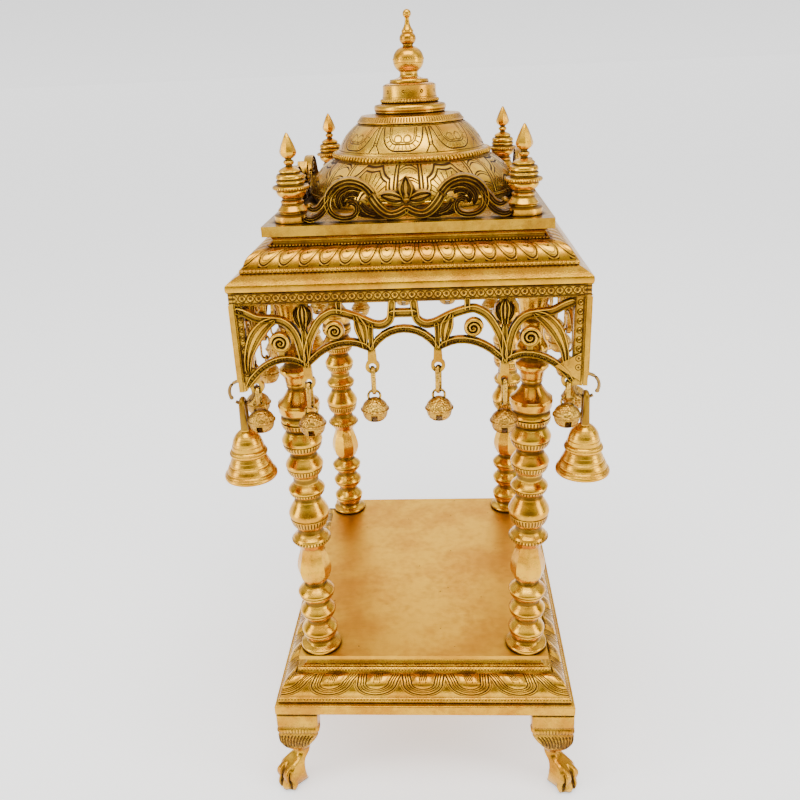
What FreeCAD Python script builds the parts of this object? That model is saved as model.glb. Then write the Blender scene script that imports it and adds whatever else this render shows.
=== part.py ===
import FreeCAD, Part
import Sketcher
import math
import os

# Brass household shrine: a moulded base on four paw feet, a floor plate, four turned
# pillars, a moulded cornice with pierced scalloped panels, hanging bells, a flat roof slab,
# a two-tier dome with finial, four corner turrets and four scroll crests.
# Millimetres. Z is up, the feet stand on Z = 0, and the plan is centred on X = 0, Y = 0.
# The front faces -Y.

os.makedirs("parts", exist_ok=True)
V = FreeCAD.Vector
doc = FreeCAD.newDocument("Mandir")
sheet = doc.addObject("Spreadsheet::Sheet", "sizes")
values = {}


class Term:
    # A length: its text in an expression, and its number.
    def __init__(self, text, value):
        self.text = text
        self.value = value

    def __add__(self, other):
        return Term("(%s + %s)" % (self.text, term(other).text), self.value + term(other).value)

    def __sub__(self, other):
        return Term("(%s - %s)" % (self.text, term(other).text), self.value - term(other).value)

    def __mul__(self, factor):
        return Term("(%s * %s)" % (self.text, factor), self.value * factor)

    def __neg__(self):
        return Term("(0 - %s)" % self.text, -self.value)


def term(thing):
    if isinstance(thing, Term):
        return thing
    return Term(repr(float(thing)), float(thing))


def size(name, value):
    # One named cell of the sheet.
    number = len(values) + 1
    sheet.set("A%d" % number, name)
    sheet.set("B%d" % number, str(value))
    sheet.setAlias("B%d" % number, name)
    values[name] = float(value)
    return Term("sizes.%s" % name, float(value))


def total(terms):
    answer = terms[0]
    for each in terms[1:]:
        answer = answer + each
    return answer


def bind(thing, prop, value):
    thing.setExpression(prop, term(value).text)


# Plan
depth_extra = size("depth_extra", 27.6)
pillar_half = size("pillar_half", 85.4)
rim_half = size("rim_half", 122.3)
plate_half = size("plate_half", 102.0)
eave_half = size("eave_half", 120.2)
slab_half = size("slab_half", 97.3)
turret_inset = size("turret_inset", 19.2)
turret_half = slab_half - turret_inset
# Plates and walls
plate_thick = size("plate_thick", 3.3)
ceiling_thick = size("ceiling_thick", 3.0)
slab_thick = size("slab_thick", 6.8)
plinth_wall = size("plinth_wall", 4.0)
cornice_wall = size("cornice_wall", 4.2)
dome_wall = size("dome_wall", 3.0)
# Reach of the mitre cuts to each side of the mouldings' inner face
mitre_reach = size("mitre_reach", 50.0)
# Paw feet
leg_block_half = size("leg_block_half", 17.2)
leg_block_cut = size("leg_block_cut", 19.6)
# Pierced panels
panel_thick = size("panel_thick", 3.0)
panel_rise = size("panel_rise", 71.4)
panel_border = size("panel_border", 7.4)
front_half = size("front_half", 116.0)
panel_seam = size("panel_seam", 0.4)
panel_top = size("panel_top", 9.4)
scallop_band = size("scallop_band", 5.2)
vine_wide = size("vine_wide", 4.6)
front_shift_across = size("front_shift_across", -3.5)
gusset_thick = size("gusset_thick", 1.0)
lug_radius = size("lug_radius", 4.9)
lug_hole = size("lug_hole", 2.5)
lug_drop = size("lug_drop", 9.4)
# Small bells and their links
link_wire = size("link_wire", 0.9)
link_bend = size("link_bend", 3.6)
link_seat = size("link_seat", 0.7)
link_long = size("link_long", 18.9)
corner_link_long = size("corner_link_long", 13.0)
hang_gap = size("hang_gap", 0.3)
link_gap = size("link_gap", 0.5)
loop_wire = size("loop_wire", 0.8)
loop_bend = size("loop_bend", 3.6)
jingle_slot = size("jingle_slot", 3.0)
jingle_wall = size("jingle_wall", 1.1)
# Corner rings and large bells
ring_bend = size("ring_bend", 8.5)
ring_wire = size("ring_wire", 1.2)
ring_hole = size("ring_hole", 2.2)
ring_hole_rise = size("ring_hole_rise", 6.2)
ring_inset = size("ring_inset", 6.5)
ring_outset = size("ring_outset", 2.0)
bell_wire = size("bell_wire", 1.7)
bell_bend = size("bell_bend", 3.6)
bell_loop_long = size("bell_loop_long", 24.0)
bell_wall = size("bell_wall", 1.9)
clapper_ball = size("clapper_ball", 3.4)
clapper_rod = size("clapper_rod", 1.1)
# Crests
crest_thick = size("crest_thick", 4.0)
crest_inset = size("crest_inset", 10.5)
toe_ball = size("toe_ball", 5.4)


def table(prefix, rows):
    # A turned or moulded outline, from the bottom up. Each row is the edge to the next
    # corner: its name, the corner's radius, its rise, and how far the edge bows out.
    answer = []
    for name, radius, rise, bow in rows:
        row = {"radius": None, "rise": None, "bow": None, "in": bow < 0}
        if radius is not None:
            row["radius"] = size("%s_%s_radius" % (prefix, name), radius)
        if rise:
            row["rise"] = size("%s_%s_rise" % (prefix, name), rise)
        if bow:
            row["bow"] = size("%s_%s_bow" % (prefix, name), abs(bow))
        answer.append(row)
    return answer


def rise_of(rows):
    return total([row["rise"] for row in rows if row["rise"] is not None])


def corner(x=None, dy=None, level=None, bow=None, inward=False):
    return {"x": x, "dy": dy, "level": level, "bow": bow, "in": inward}


def draw_loop(sketch, corners):
    # Draws a closed loop of lines and arcs. Every corner has one constraint across and
    # one up, and every arc has its radius, all bound to the sheet.
    points = []
    for number, each in enumerate(corners):
        if each["x"] is None:
            x = points[number - 1][0]
        else:
            x = term(each["x"]).value
        if each["level"] is not None:
            if each["level"] < 0:
                y = 0.0
            else:
                y = points[each["level"]][1]
        else:
            y = points[number - 1][1] + each["dy"].value
        points.append((x, y))
    count = len(points)
    shapes = []
    ends = []
    arcs = []
    for number in range(count):
        p = points[number]
        q = points[(number + 1) % count]
        target = corners[(number + 1) % count]
        if target["bow"] is None:
            shapes.append(Part.LineSegment(V(p[0], p[1], 0), V(q[0], q[1], 0)))
            ends.append((1, 2))
            continue
        chord = math.hypot(q[0] - p[0], q[1] - p[1])
        bow = target["bow"].value
        radius = chord * chord / (8 * bow) + bow / 2
        side = 1
        if target["in"]:
            side = -1
        across = ((q[1] - p[1]) / chord * side, -(q[0] - p[0]) / chord * side)
        middle = ((p[0] + q[0]) / 2, (p[1] + q[1]) / 2)
        centre = V(middle[0] - across[0] * (radius - bow), middle[1] - across[1] * (radius - bow), 0)
        start = math.atan2(p[1] - centre.y, p[0] - centre.x)
        stop = math.atan2(q[1] - centre.y, q[0] - centre.x)
        circle = Part.Circle(centre, V(0, 0, 1), radius)
        if side > 0:
            shapes.append(Part.ArcOfCircle(circle, start, stop))
            ends.append((1, 2))
        else:
            shapes.append(Part.ArcOfCircle(circle, stop, start))
            ends.append((2, 1))
        arcs.append(number)
    sketch.addGeometry(shapes, False)
    rules = []
    bound = []

    def rule(value, *parts):
        if value is not None:
            bound.append((len(rules), value))
        rules.append(Sketcher.Constraint(*parts))

    for number in range(count):
        after = (number + 1) % count
        rule(None, "Coincident", number, ends[number][1], after, ends[after][0])
    for number, each in enumerate(corners):
        here = (number, ends[number][0])
        before = (number - 1, ends[number - 1][0])
        if number == 0:
            before = None
        if each["x"] is None:
            rule(None, "Vertical", before[0], before[1], here[0], here[1])
        elif term(each["x"]).value == 0 and not isinstance(each["x"], Term):
            rule(None, "PointOnObject", here[0], here[1], -2)
        else:
            rule(term(each["x"]), "DistanceX", -1, 1, here[0], here[1], term(each["x"]).value)
        if each["level"] is not None:
            if each["level"] < 0:
                rule(None, "PointOnObject", here[0], here[1], -1)
            else:
                other = each["level"]
                rule(None, "Horizontal", other, ends[other][0], here[0], here[1])
        else:
            rule(each["dy"], "DistanceY", before[0], before[1], here[0], here[1], each["dy"].value)
    for number in arcs:
        target = corners[(number + 1) % count]
        q = target
        run = Term("0", 0.0)
        if q["x"] is not None:
            back = number
            while corners[back]["x"] is None:
                back -= 1
            run = term(q["x"]) - term(corners[back]["x"])
        rise = Term("0", 0.0)
        if q["dy"] is not None:
            rise = q["dy"]
        text = "(%s^2 + %s^2) / (8 * %s) + %s / 2"
        text = text % (run.text, rise.text, q["bow"].text, q["bow"].text)
        chord2 = run.value ** 2 + rise.value ** 2
        radius = chord2 / (8 * q["bow"].value) + q["bow"].value / 2
        rule(Term(text, radius), "Radius", number, radius)
    sketch.addConstraint(rules)
    for index, value in bound:
        sketch.setExpression("Constraints[%d]" % index, value.text)


def rows_to_corners(rows):
    # The outline of the rows from the bottom up, without its closing corners.
    answer = []
    for number, row in enumerate(rows):
        if number == 0:
            answer.append(corner(x=row["radius"], level=-1))
            continue
        level = None
        if row["rise"] is None:
            level = number - 1
        answer.append(corner(x=row["radius"], dy=row["rise"], level=level, bow=row["bow"], inward=row["in"]))
    return answer


def radius_at(rows, number):
    while rows[number]["radius"] is None:
        number -= 1
    return rows[number]["radius"]


def plane_of(body, role):
    for each in body.Origin.OriginFeatures:
        if each.Role == role:
            return each


def sketch_on(body, role, name):
    sketch = body.newObject("Sketcher::SketchObject", name)
    sketch.AttachmentSupport = [(plane_of(body, role), "")]
    sketch.MapMode = "FlatFace"
    return sketch


def turned(name, rows, wall=None, inner=None):
    # A body turned about Z. With a wall it is hollow and open below, and inner lists the
    # rows that its inside follows, from the top down.
    body = doc.addObject("PartDesign::Body", name)
    sketch = sketch_on(body, "XZ_Plane", name + "_outline")
    corners = rows_to_corners(rows)
    last = len(corners) - 1
    if radius_at(rows, last).value > 0.01:
        corners.append(corner(x=0, level=last))
    if wall is None:
        corners.append(corner(x=0, level=-1))
    else:
        corners.append(corner(x=0, dy=-wall))
        top = len(corners) - 1
        for number in inner:
            reach = radius_at(rows, number) - wall
            if number == inner[0]:
                corners.append(corner(x=reach, level=top))
            else:
                corners.append(corner(x=reach, level=number))
    draw_loop(sketch, corners)
    turn = body.newObject("PartDesign::Revolution", name + "_turn")
    turn.Profile = sketch
    turn.ReferenceAxis = (sketch, ["V_Axis"])
    turn.Angle = 360
    sketch.Visibility = False
    return body


def polygon(sketch, spots):
    # Draws a closed polygon whose corners are all bound to the sheet.
    count = len(spots)
    for number in range(count):
        p = spots[number]
        q = spots[(number + 1) % count]
        sketch.addGeometry(Part.LineSegment(V(p[0].value, p[1].value, 0), V(q[0].value, q[1].value, 0)), False)
    for number in range(count):
        sketch.addConstraint(Sketcher.Constraint("Coincident", number, 2, (number + 1) % count, 1))
        x, y = spots[number]
        spot = sketch.addConstraint(Sketcher.Constraint("DistanceX", -1, 1, number, 1, x.value))
        sketch.setExpression("Constraints[%d]" % spot, x.text)
        spot = sketch.addConstraint(Sketcher.Constraint("DistanceY", -1, 1, number, 1, y.value))
        sketch.setExpression("Constraints[%d]" % spot, y.text)


def extruded(name, sketch, direction, length):
    block = doc.addObject("Part::Extrusion", name)
    block.Base = sketch
    block.DirMode = "Custom"
    block.Dir = direction
    block.Solid = True
    block.Symmetric = True
    bind(block, "LengthFwd", length)
    return block


def moulded(name, rows, base_half, wall, inner):
    # A hollow rectangular moulding: one outline run along the four sides, with mitred
    # corners. The rows' radii are half widths across X; the depth is larger by depth_extra.
    half_x = base_half
    half_y = base_half + depth_extra
    corners = rows_to_corners(rows)
    for number in inner:
        corners.append(corner(x=radius_at(rows, number) - wall, level=number))
    for each in corners:
        if each["x"] is not None:
            each["x"] = each["x"] - base_half
    near_x = half_x - mitre_reach
    far_x = half_x + mitre_reach
    near_y = half_y - mitre_reach
    far_y = half_y + mitre_reach
    runs = {
        "front": (V(0, -1, 0), V(-1, 0, 0), "y", half_y, far_x,
                  [(-far_x, -far_y), (far_x, -far_y), (near_x, -near_y), (-near_x, -near_y)]),
        "left": (V(-1, 0, 0), V(0, 1, 0), "x", half_x, far_y,
                 [(-far_x, far_y), (-far_x, -far_y), (-near_x, -near_y), (-near_x, near_y)]),
    }
    sides = []
    for run in ("front", "left"):
        out, along, axis, half, reach, spots = runs[run]
        outline = doc.addObject("Sketcher::SketchObject", "%s_%s_outline" % (name, run))
        draw_loop(outline, corners)
        outline.Placement = FreeCAD.Placement(out * half.value, FreeCAD.Rotation(out, V(0, 0, 1), along, "ZXY"))
        bind(outline, "Placement.Base." + axis, -half)
        bar = extruded("%s_%s_bar" % (name, run), outline, along, reach * 2)
        plan = doc.addObject("Sketcher::SketchObject", "%s_%s_plan" % (name, run))
        polygon(plan, spots)
        mitre = extruded("%s_%s_mitre" % (name, run), plan, V(0, 0, 1), rise_of(rows) * 2)
        side = doc.addObject("Part::Common", "%s_%s" % (name, run))
        side.Base = bar
        side.Tool = mitre
        sides.append(side)
        other = doc.addObject("Part::Mirroring", "%s_%s_opposite" % (name, run))
        other.Source = side
        other.Normal = out
        sides.append(other)
    frame = doc.addObject("Part::MultiFuse", name)
    frame.Shapes = sides
    frame.Refine = True
    return frame


def plate(name, half_x, half_y, thick):
    box = doc.addObject("Part::Box", name)
    bind(box, "Length", half_x * 2)
    bind(box, "Width", half_y * 2)
    bind(box, "Height", thick)
    bind(box, "Placement.Base.x", -half_x)
    bind(box, "Placement.Base.y", -half_y)
    return box


def placed(name, things, x, y, z, turn=0):
    # A piece made of finished shapes, set at its own place.
    group = doc.addObject("Part::Compound", name)
    group.Links = things
    group.Placement = FreeCAD.Placement(V(0, 0, 0), FreeCAD.Rotation(V(0, 0, 1), turn))
    bind(group, "Placement.Base.x", x)
    bind(group, "Placement.Base.y", y)
    bind(group, "Placement.Base.z", z)
    return group


nodes = []


def keep(thing, label):
    thing.Label = label
    nodes.append(thing)
    return thing


QUARTERS = [("front_left", -1, -1), ("front_right", 1, -1), ("back_left", -1, 1), ("back_right", 1, 1)]

# Base moulding, from its lower rim to the recess below the floor plate
plinth_rows = table("plinth", [
    ("rim_low", 120.6, 0, 0),
    ("rim_turn", 122.3, 1.8, 0.4),
    ("rim_side", None, 6.6, 0),
    ("rim_top", 121.3, 1.4, 0.4),
    ("ledge", 118.9, 0.6, 0),
    ("bead", 117.3, 4.6, 1.3),
    ("lotus", 104.4, 14.4, 3.2),
    ("upper_bead", 100.4, 3.4, 0.9),
    ("recess_low", 98.2, 1.2, 0),
    ("recess", 97.2, 4.0, -0.8),
    ("collar", 98.6, 3.0, 0),
])
leg_rise = size("leg_rise", 80.4)
plinth = moulded("plinth", plinth_rows, size("plinth_path_half", 97.2), plinth_wall, [10, 8, 6, 5, 3, 0])
bind(plinth, "Placement.Base.z", leg_rise)
keep(plinth, "plinth")
plinth_top = leg_rise + rise_of(plinth_rows)

# Floor plate, on which the idol stands
floor = plate("floor_plate", plate_half, plate_half + depth_extra, plate_thick)
bind(floor, "Placement.Base.z", plinth_top)
keep(floor, "floor_plate")
floor_top = "floor_plate.Placement.Base.z"
floor_top = Term("(floor_plate.Placement.Base.z / 1mm + %s)" % plate_thick.text, (plinth_top + plate_thick).value)

# Paw feet
# Each row is the rise to the section, how far its centre stands out, its half width and the
# share of that half by which its inner corner is cut.
LEG = [
    ("sole", 0.0, 5.0, 7.2, 0.45),
    ("toes", 5.0, 8.6, 10.8, 0.5),
    ("paw", 10.5, 11.0, 12.4, 0.5),
    ("instep", 7.0, 9.4, 10.8, 0.5),
    ("ankle", 6.0, 2.6, 7.0, 0.5),
    ("shin", 6.5, 1.6, 7.2, 0.6),
    ("calf", 10.0, 3.6, 12.6, 0.9),
    ("knee", 9.0, 1.6, 16.0, 1.1),
    ("collar", 6.6, 0.2, 17.0, 1.15),
    ("brow", 6.8, 0.0, 17.0, 1.15),
]
leg = doc.addObject("PartDesign::Body", "leg_pattern")
leg_sections = []
level = Term("0", 0.0)
for name, rise, out, half, share in LEG:
    if rise:
        level = level + size("leg_%s_rise" % name, rise)
    out = size("leg_%s_out" % name, out)
    half = size("leg_%s_half" % name, half)
    cut = size("leg_%s_cut" % name, round(half.value * (0.45 if share < 0.9 else 0.12), 2))
    inner = size("leg_%s_inner_cut" % name, round(half.value * share, 2))
    section = sketch_on(leg, "XY_Plane", "leg_%s_section" % name)
    bind(section, "AttachmentOffset.Base.z", level)
    low = -out - half
    high = -out + half
    spots = [
        (low + cut, low), (high - cut, low), (high, low + cut), (high, high - inner),
        (high - inner, high), (low + cut, high), (low, high - cut), (low, low + cut),
    ]
    polygon(section, spots)
    leg_sections.append(section)
doc.recompute()
loft = leg.newObject("PartDesign::AdditiveLoft", "leg_loft")
loft.Profile = leg_sections[0]
loft.Sections = leg_sections[1:]
loft.Ruled = True
block_sketch = sketch_on(leg, "XY_Plane", "leg_block_section")
bind(block_sketch, "AttachmentOffset.Base.z", level)
block = [
    (-leg_block_half, -leg_block_half), (leg_block_half, -leg_block_half),
    (leg_block_half, leg_block_half - leg_block_cut), (leg_block_half - leg_block_cut, leg_block_half),
    (-leg_block_half, leg_block_half),
]
polygon(block_sketch, block)
pad = leg.newObject("PartDesign::Pad", "leg_block")
pad.Profile = block_sketch
pad.Length = (leg_rise - level).value
bind(pad, "Length", leg_rise - level)
doc.recompute()
# Toes round the outer corner of the paw
toes = []
for number, (across, ahead) in enumerate([(-18.6, -9.6), (-17.3, -14.2), (-14.2, -17.3), (-9.6, -18.6)]):
    toe = doc.addObject("Part::Sphere", "toe_%d" % (number + 1))
    bind(toe, "Radius", toe_ball)
    toe.Placement = FreeCAD.Placement(V(across, ahead, 7.4), FreeCAD.Rotation(V(0, 0, 1), 17 + number * 90))
    toes.append(toe)
leg_whole = doc.addObject("Part::MultiFuse", "leg_whole")
leg_whole.Shapes = [leg] + toes
leg_centre = rim_half - leg_block_half
for place, side, depth in QUARTERS:
    turn = {(-1, -1): 0, (1, -1): 90, (1, 1): 180, (-1, 1): 270}[(side, depth)]
    foot = placed("leg_" + place, [leg_whole], leg_centre * side, (leg_centre + depth_extra) * depth, 0, turn)
    keep(foot, "leg_" + place)

# Turned pillar, from its foot disc to its flared capital
pillar_rows = table("pillar", [
    ("foot", 16.3, 0, 0),
    ("foot_side", None, 3.7, 0.5),
    ("foot_top", 11.6, 1.6, 0),
    ("foot_neck", 11.2, 4.0, -0.5),
    ("ring_one", 8.9, 15.6, 4.7),
    ("neck_one", 9.3, 3.6, -0.3),
    ("ring_two", 9.5, 15.1, 5.2),
    ("neck_two", 9.6, 2.9, -0.3),
    ("ring_three", 8.2, 15.0, 6.0),
    ("vase_foot", 7.2, 1.8, 0),
    ("vase_belly", 13.1, 15.0, 1.6),
    ("vase_neck", 8.6, 17.5, 1.0),
    ("flange_low", 14.6, 7.7, -1.2),
    ("flange", 15.3, 1.6, 0.4),
    ("flange_top", 13.6, 1.9, 0.3),
    ("cup_neck", 9.5, 6.6, -1.0),
    ("ring_four", 9.7, 27.0, 5.8),
    ("neck_four", 9.5, 1.6, -0.2),
    ("ring_five", 9.6, 12.4, 4.2),
    ("neck_five", 9.8, 5.6, -0.4),
    ("ring_six", 9.9, 18.0, 4.2),
    ("neck_six", 10.2, 2.2, -0.2),
    ("ring_seven", 10.9, 18.8, 4.5),
    ("collar", 13.0, 12.0, 2.0),
    ("drum", 14.9, 6.0, -0.5),
    ("drum_edge", 15.2, 4.0, 0.5),
    ("cone", 6.8, 11.0, -1.4),
    ("waist", 8.3, 5.0, -0.6),
    ("disc_low", 11.6, 7.4, -1.0),
    ("disc", 11.2, 3.0, 0.6),
    ("upper_neck", 7.4, 4.6, -1.0),
    ("upper_ring", 8.2, 14.0, 3.4),
    ("upper_cove", 8.8, 13.0, -1.2),
    ("capital", 15.6, 24.6, -2.2),
    ("capital_lip", 16.4, 5.0, 0.8),
    ("capital_top", 15.4, 4.5, 0.5),
])
pillar = turned("pillar_turned", pillar_rows)
vase_low = rise_of(pillar_rows[:12])
vase_rise = rise_of(pillar_rows[12:14])
around = doc.addObject("Part::Cylinder", "vase_around")
around.Radius = 20
bind(around, "Height", vase_rise)
bind(around, "Placement.Base.z", vase_low)
eight = doc.addObject("Part::Prism", "vase_eight_sides")
eight.Polygon = 8
bind(eight, "Circumradius", size("vase_across_corners", 13.8))
bind(eight, "Height", vase_rise)
bind(eight, "Placement.Base.z", vase_low)
sides = doc.addObject("Part::Cut", "vase_sides")
sides.Base = around
sides.Tool = eight
pillar_whole = doc.addObject("Part::Cut", "pillar_pattern")
pillar_whole.Base = pillar
pillar_whole.Tool = sides
for place, side, depth in QUARTERS:
    post = placed("pillar_" + place, [pillar_whole], pillar_half * side, (pillar_half + depth_extra) * depth, floor_top)
    keep(post, "pillar_" + place)
pillar_rise = rise_of(pillar_rows)
eave = Term("(pillar_front_left.Placement.Base.z / 1mm + %s)" % pillar_rise.text, (floor_top + pillar_rise).value)

# Cornice: a plain rim, a bead row, a lotus band and a hollow neck
cornice_rows = table("cornice", [
    ("rim_low", 120.2, 0, 0),
    ("rim", None, 4.4, 0.3),
    ("slope", 111.4, 5.6, 0.4),
    ("bead", 109.9, 2.8, 0.9),
    ("ledge", 109.6, 0.8, 0),
    ("lotus", 94.3, 10.2, 3.4),
    ("neck_low", 91.6, 1.2, 0),
    ("neck", 91.3, 2.4, -0.3),
    ("neck_top", 94.2, 4.0, -0.9),
])
cornice = moulded("cornice", cornice_rows, size("cornice_path_half", 91.3), cornice_wall, [8, 7, 5, 3, 1, 0])
bind(cornice, "Placement.Base.z", eave)
keep(cornice, "cornice")

# Ceiling plate inside the cornice, on top of the pillars
ceiling_half = eave_half - cornice_wall
ceiling = plate("ceiling_plate", ceiling_half, ceiling_half + depth_extra, ceiling_thick)
bind(ceiling, "Placement.Base.z", eave)
keep(ceiling, "ceiling_plate")

# Roof slab
slab = plate("roof_slab", slab_half, slab_half + depth_extra, slab_thick)
slab_low = Term("(cornice.Placement.Base.z / 1mm + %s)" % rise_of(cornice_rows).text, (eave + rise_of(cornice_rows)).value)
bind(slab, "Placement.Base.z", slab_low)
keep(slab, "roof_slab")
roof = Term("(roof_slab.Placement.Base.z / 1mm + %s)" % slab_thick.text, (slab_low + slab_thick).value)

# Two-tier dome, its neck and its finial
lower_rows = table("dome_lower", [
    ("foot", 78.4, 0, 0),
    ("foot_side", None, 3.0, 0),
    ("lip_low", 80.6, 0.9, 0),
    ("lip", 80.4, 2.8, 0.9),
    ("shoulder", 60.6, 23.8, 3.6),
    ("bead", 58.4, 4.8, 1.4),
])
lower = turned("dome_lower_body", lower_rows, dome_wall, [4, 3, 0])
bind(lower, "Placement.Base.z", roof)
keep(lower, "dome_lower")
lower_top = Term("(dome_lower_body.Placement.Base.z / 1mm + %s)" % rise_of(lower_rows).text, (roof + rise_of(lower_rows)).value)
upper_rows = table("dome_upper", [
    ("foot", 57.0, 0, 0),
    ("shoulder", 41.0, 19.9, 2.2),
    ("crown", 38.6, 0.6, 0),
])
upper = turned("dome_upper_body", upper_rows, dome_wall, [1, 0])
bind(upper, "Placement.Base.z", lower_top)
keep(upper, "dome_upper")
upper_top = Term("(dome_upper_body.Placement.Base.z / 1mm + %s)" % rise_of(upper_rows).text, (lower_top + rise_of(upper_rows)).value)
neck_rows = table("dome_neck", [
    ("cap", 41.0, 0, 0),
    ("cap_side", 40.6, 1.4, 0.5),
    ("cap_slope", 38.0, 3.4, 0),
    ("cap_top", 26.2, 1.4, -0.4),
    ("flange_low", 27.0, 1.6, 0.4),
    ("flange", 26.8, 4.2, 0.8),
    ("flange_top", 21.4, 1.3, 0),
    ("bead", 21.0, 3.0, 0.9),
    ("drum", 20.3, 9.2, -0.3),
    ("drum_lip", 14.8, 1.8, 0.6),
    ("step", 14.2, 2.6, 0.4),
    ("top", 7.6, 1.6, -0.4),
])
neck = turned("dome_neck_body", neck_rows)
bind(neck, "Placement.Base.z", upper_top)
keep(neck, "dome_neck")
neck_top = Term("(dome_neck_body.Placement.Base.z / 1mm + %s)" % rise_of(neck_rows).text, (upper_top + rise_of(neck_rows)).value)
finial_rows = table("finial", [
    ("foot", 7.4, 0, 0),
    ("foot_side", 7.0, 3.6, -0.4),
    ("pot", 3.8, 17.6, 6.2),
    ("neck", 4.0, 1.4, 0),
    ("upper_pot", 4.2, 7.6, 2.1),
    ("cup", 4.4, 1.8, 0.2),
    ("stem", 1.7, 6.8, -0.6),
    ("stem_top", 1.6, 1.8, 0),
    ("ball", 0.6, 5.9, 2.0),
])
finial = turned("finial_body", finial_rows)
bind(finial, "Placement.Base.z", neck_top)
keep(finial, "finial")

# Corner turrets
turret_rows = table("turret", [
    ("foot", 12.4, 0, 0),
    ("foot_side", None, 4.0, 0.4),
    ("step", 10.0, 1.0, 0),
    ("ring", 7.9, 4.6, 1.2),
    ("neck", 6.4, 4.6, -0.6),
    ("bulb", 9.6, 5.8, 1.4),
    ("disc_low", 12.0, 1.6, -0.2),
    ("disc", 11.6, 1.6, 0.5),
    ("seat", 8.8, 1.2, 0),
    ("drum", 9.0, 3.6, 0.4),
    ("shoulder", 6.4, 3.0, -0.4),
    ("cove", 2.8, 5.0, -0.6),
    ("bead", 2.6, 3.4, 1.2),
    ("stalk", 2.3, 2.2, 0),
    ("bud_low", 5.2, 4.0, 0.5),
    ("spire", 0.6, 12.6, 0.3),
])
turret = turned("turret_pattern", turret_rows)
turrets = []
for place, side, depth in QUARTERS:
    turrets.append(placed("turret_" + place, [turret], turret_half * side, (turret_half + depth_extra) * depth, roof))
group = doc.addObject("Part::Compound", "turrets")
group.Links = turrets
keep(group, "turrets")


def half_hoop(name, bend, wire, up):
    # Half of a round hoop in the YZ plane, its upper or lower half.
    hoop = doc.addObject("Part::Torus", name)
    bind(hoop, "Radius1", bend)
    bind(hoop, "Radius2", wire)
    hoop.Angle3 = 180
    sign = 1
    if not up:
        sign = -1
    turn = FreeCAD.Rotation(V(0, sign, 0), V(0, 0, sign), V(1, 0, 0), "ZXY")
    hoop.Placement = FreeCAD.Placement(V(0, 0, 0), turn)
    return hoop


def long_link(name, bend, wire, long, top):
    # A link with two straight sides in the YZ plane. top is its wire's centre line, and
    # long is the distance between the centre lines of its two bends.
    upper = half_hoop(name + "_upper", bend, wire, True)
    bind(upper, "Placement.Base.z", top - bend)
    under = half_hoop(name + "_under", bend, wire, False)
    bind(under, "Placement.Base.z", top - long + bend)
    sides = []
    for side in (-1, 1):
        bar = doc.addObject("Part::Cylinder", "%s_side_%d" % (name, side + 2))
        bind(bar, "Radius", wire)
        bind(bar, "Height", long - bend * 2)
        bind(bar, "Placement.Base.y", bend * side)
        bind(bar, "Placement.Base.z", top - long + bend)
        sides.append(bar)
    link = doc.addObject("Part::MultiFuse", name)
    link.Shapes = [upper, under] + sides
    return link


def plate_link(name, bend, wire, long, top):
    # A link of square wire in the YZ plane. top is its wire's centre line, and long is the
    # distance between the centre lines of its two bends.
    rounds = []
    for label, radius, half in (("outer", bend + wire, wire), ("inner", bend - wire, wire * 2)):
        bosses = []
        for end, level in (("upper", top - bend), ("under", top - long + bend)):
            boss = doc.addObject("Part::Cylinder", "%s_%s_%s" % (name, label, end))
            bind(boss, "Radius", radius)
            bind(boss, "Height", half * 2)
            boss.Placement = FreeCAD.Placement(V(0, 0, 0), FreeCAD.Rotation(V(0, 1, 0), 90))
            bind(boss, "Placement.Base.x", -half)
            bind(boss, "Placement.Base.z", level)
            bosses.append(boss)
        middle = doc.addObject("Part::Box", "%s_%s_middle" % (name, label))
        bind(middle, "Length", half * 2)
        bind(middle, "Width", radius * 2)
        bind(middle, "Height", long - bend * 2)
        bind(middle, "Placement.Base.x", -half)
        bind(middle, "Placement.Base.y", -radius)
        bind(middle, "Placement.Base.z", top - long + bend)
        whole = doc.addObject("Part::MultiFuse", "%s_%s" % (name, label))
        whole.Shapes = bosses + [middle]
        rounds.append(whole)
    link = doc.addObject("Part::Cut", name)
    link.Base = rounds[0]
    link.Tool = rounds[1]
    return link


def eyelet(name, bend, wire):
    # A flat eye in the XZ plane, round the Y axis.
    rounds = []
    for label, radius, half in (("outer", bend + wire, wire), ("inner", bend - wire, wire * 2)):
        boss = doc.addObject("Part::Cylinder", "%s_%s" % (name, label))
        bind(boss, "Radius", radius)
        bind(boss, "Height", half * 2)
        boss.Placement = FreeCAD.Placement(V(0, 0, 0), FreeCAD.Rotation(V(1, 0, 0), 90))
        bind(boss, "Placement.Base.y", half)
        rounds.append(boss)
    eye = doc.addObject("Part::Cut", name)
    eye.Base = rounds[0]
    eye.Tool = rounds[1]
    return eye


# Small round bell with a slot, hung in its link. Its origin is the centre of the lug's hole.
jingle_rows = table("jingle", [
    ("base", 3.0, 0, 0),
    ("bowl", 9.4, 8.2, 2.6),
    ("girdle", 9.4, 1.6, 0.35),
    ("shoulder", 5.4, 5.0, 0.7),
    ("crown", 2.0, 1.8, 0.2),
])


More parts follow.
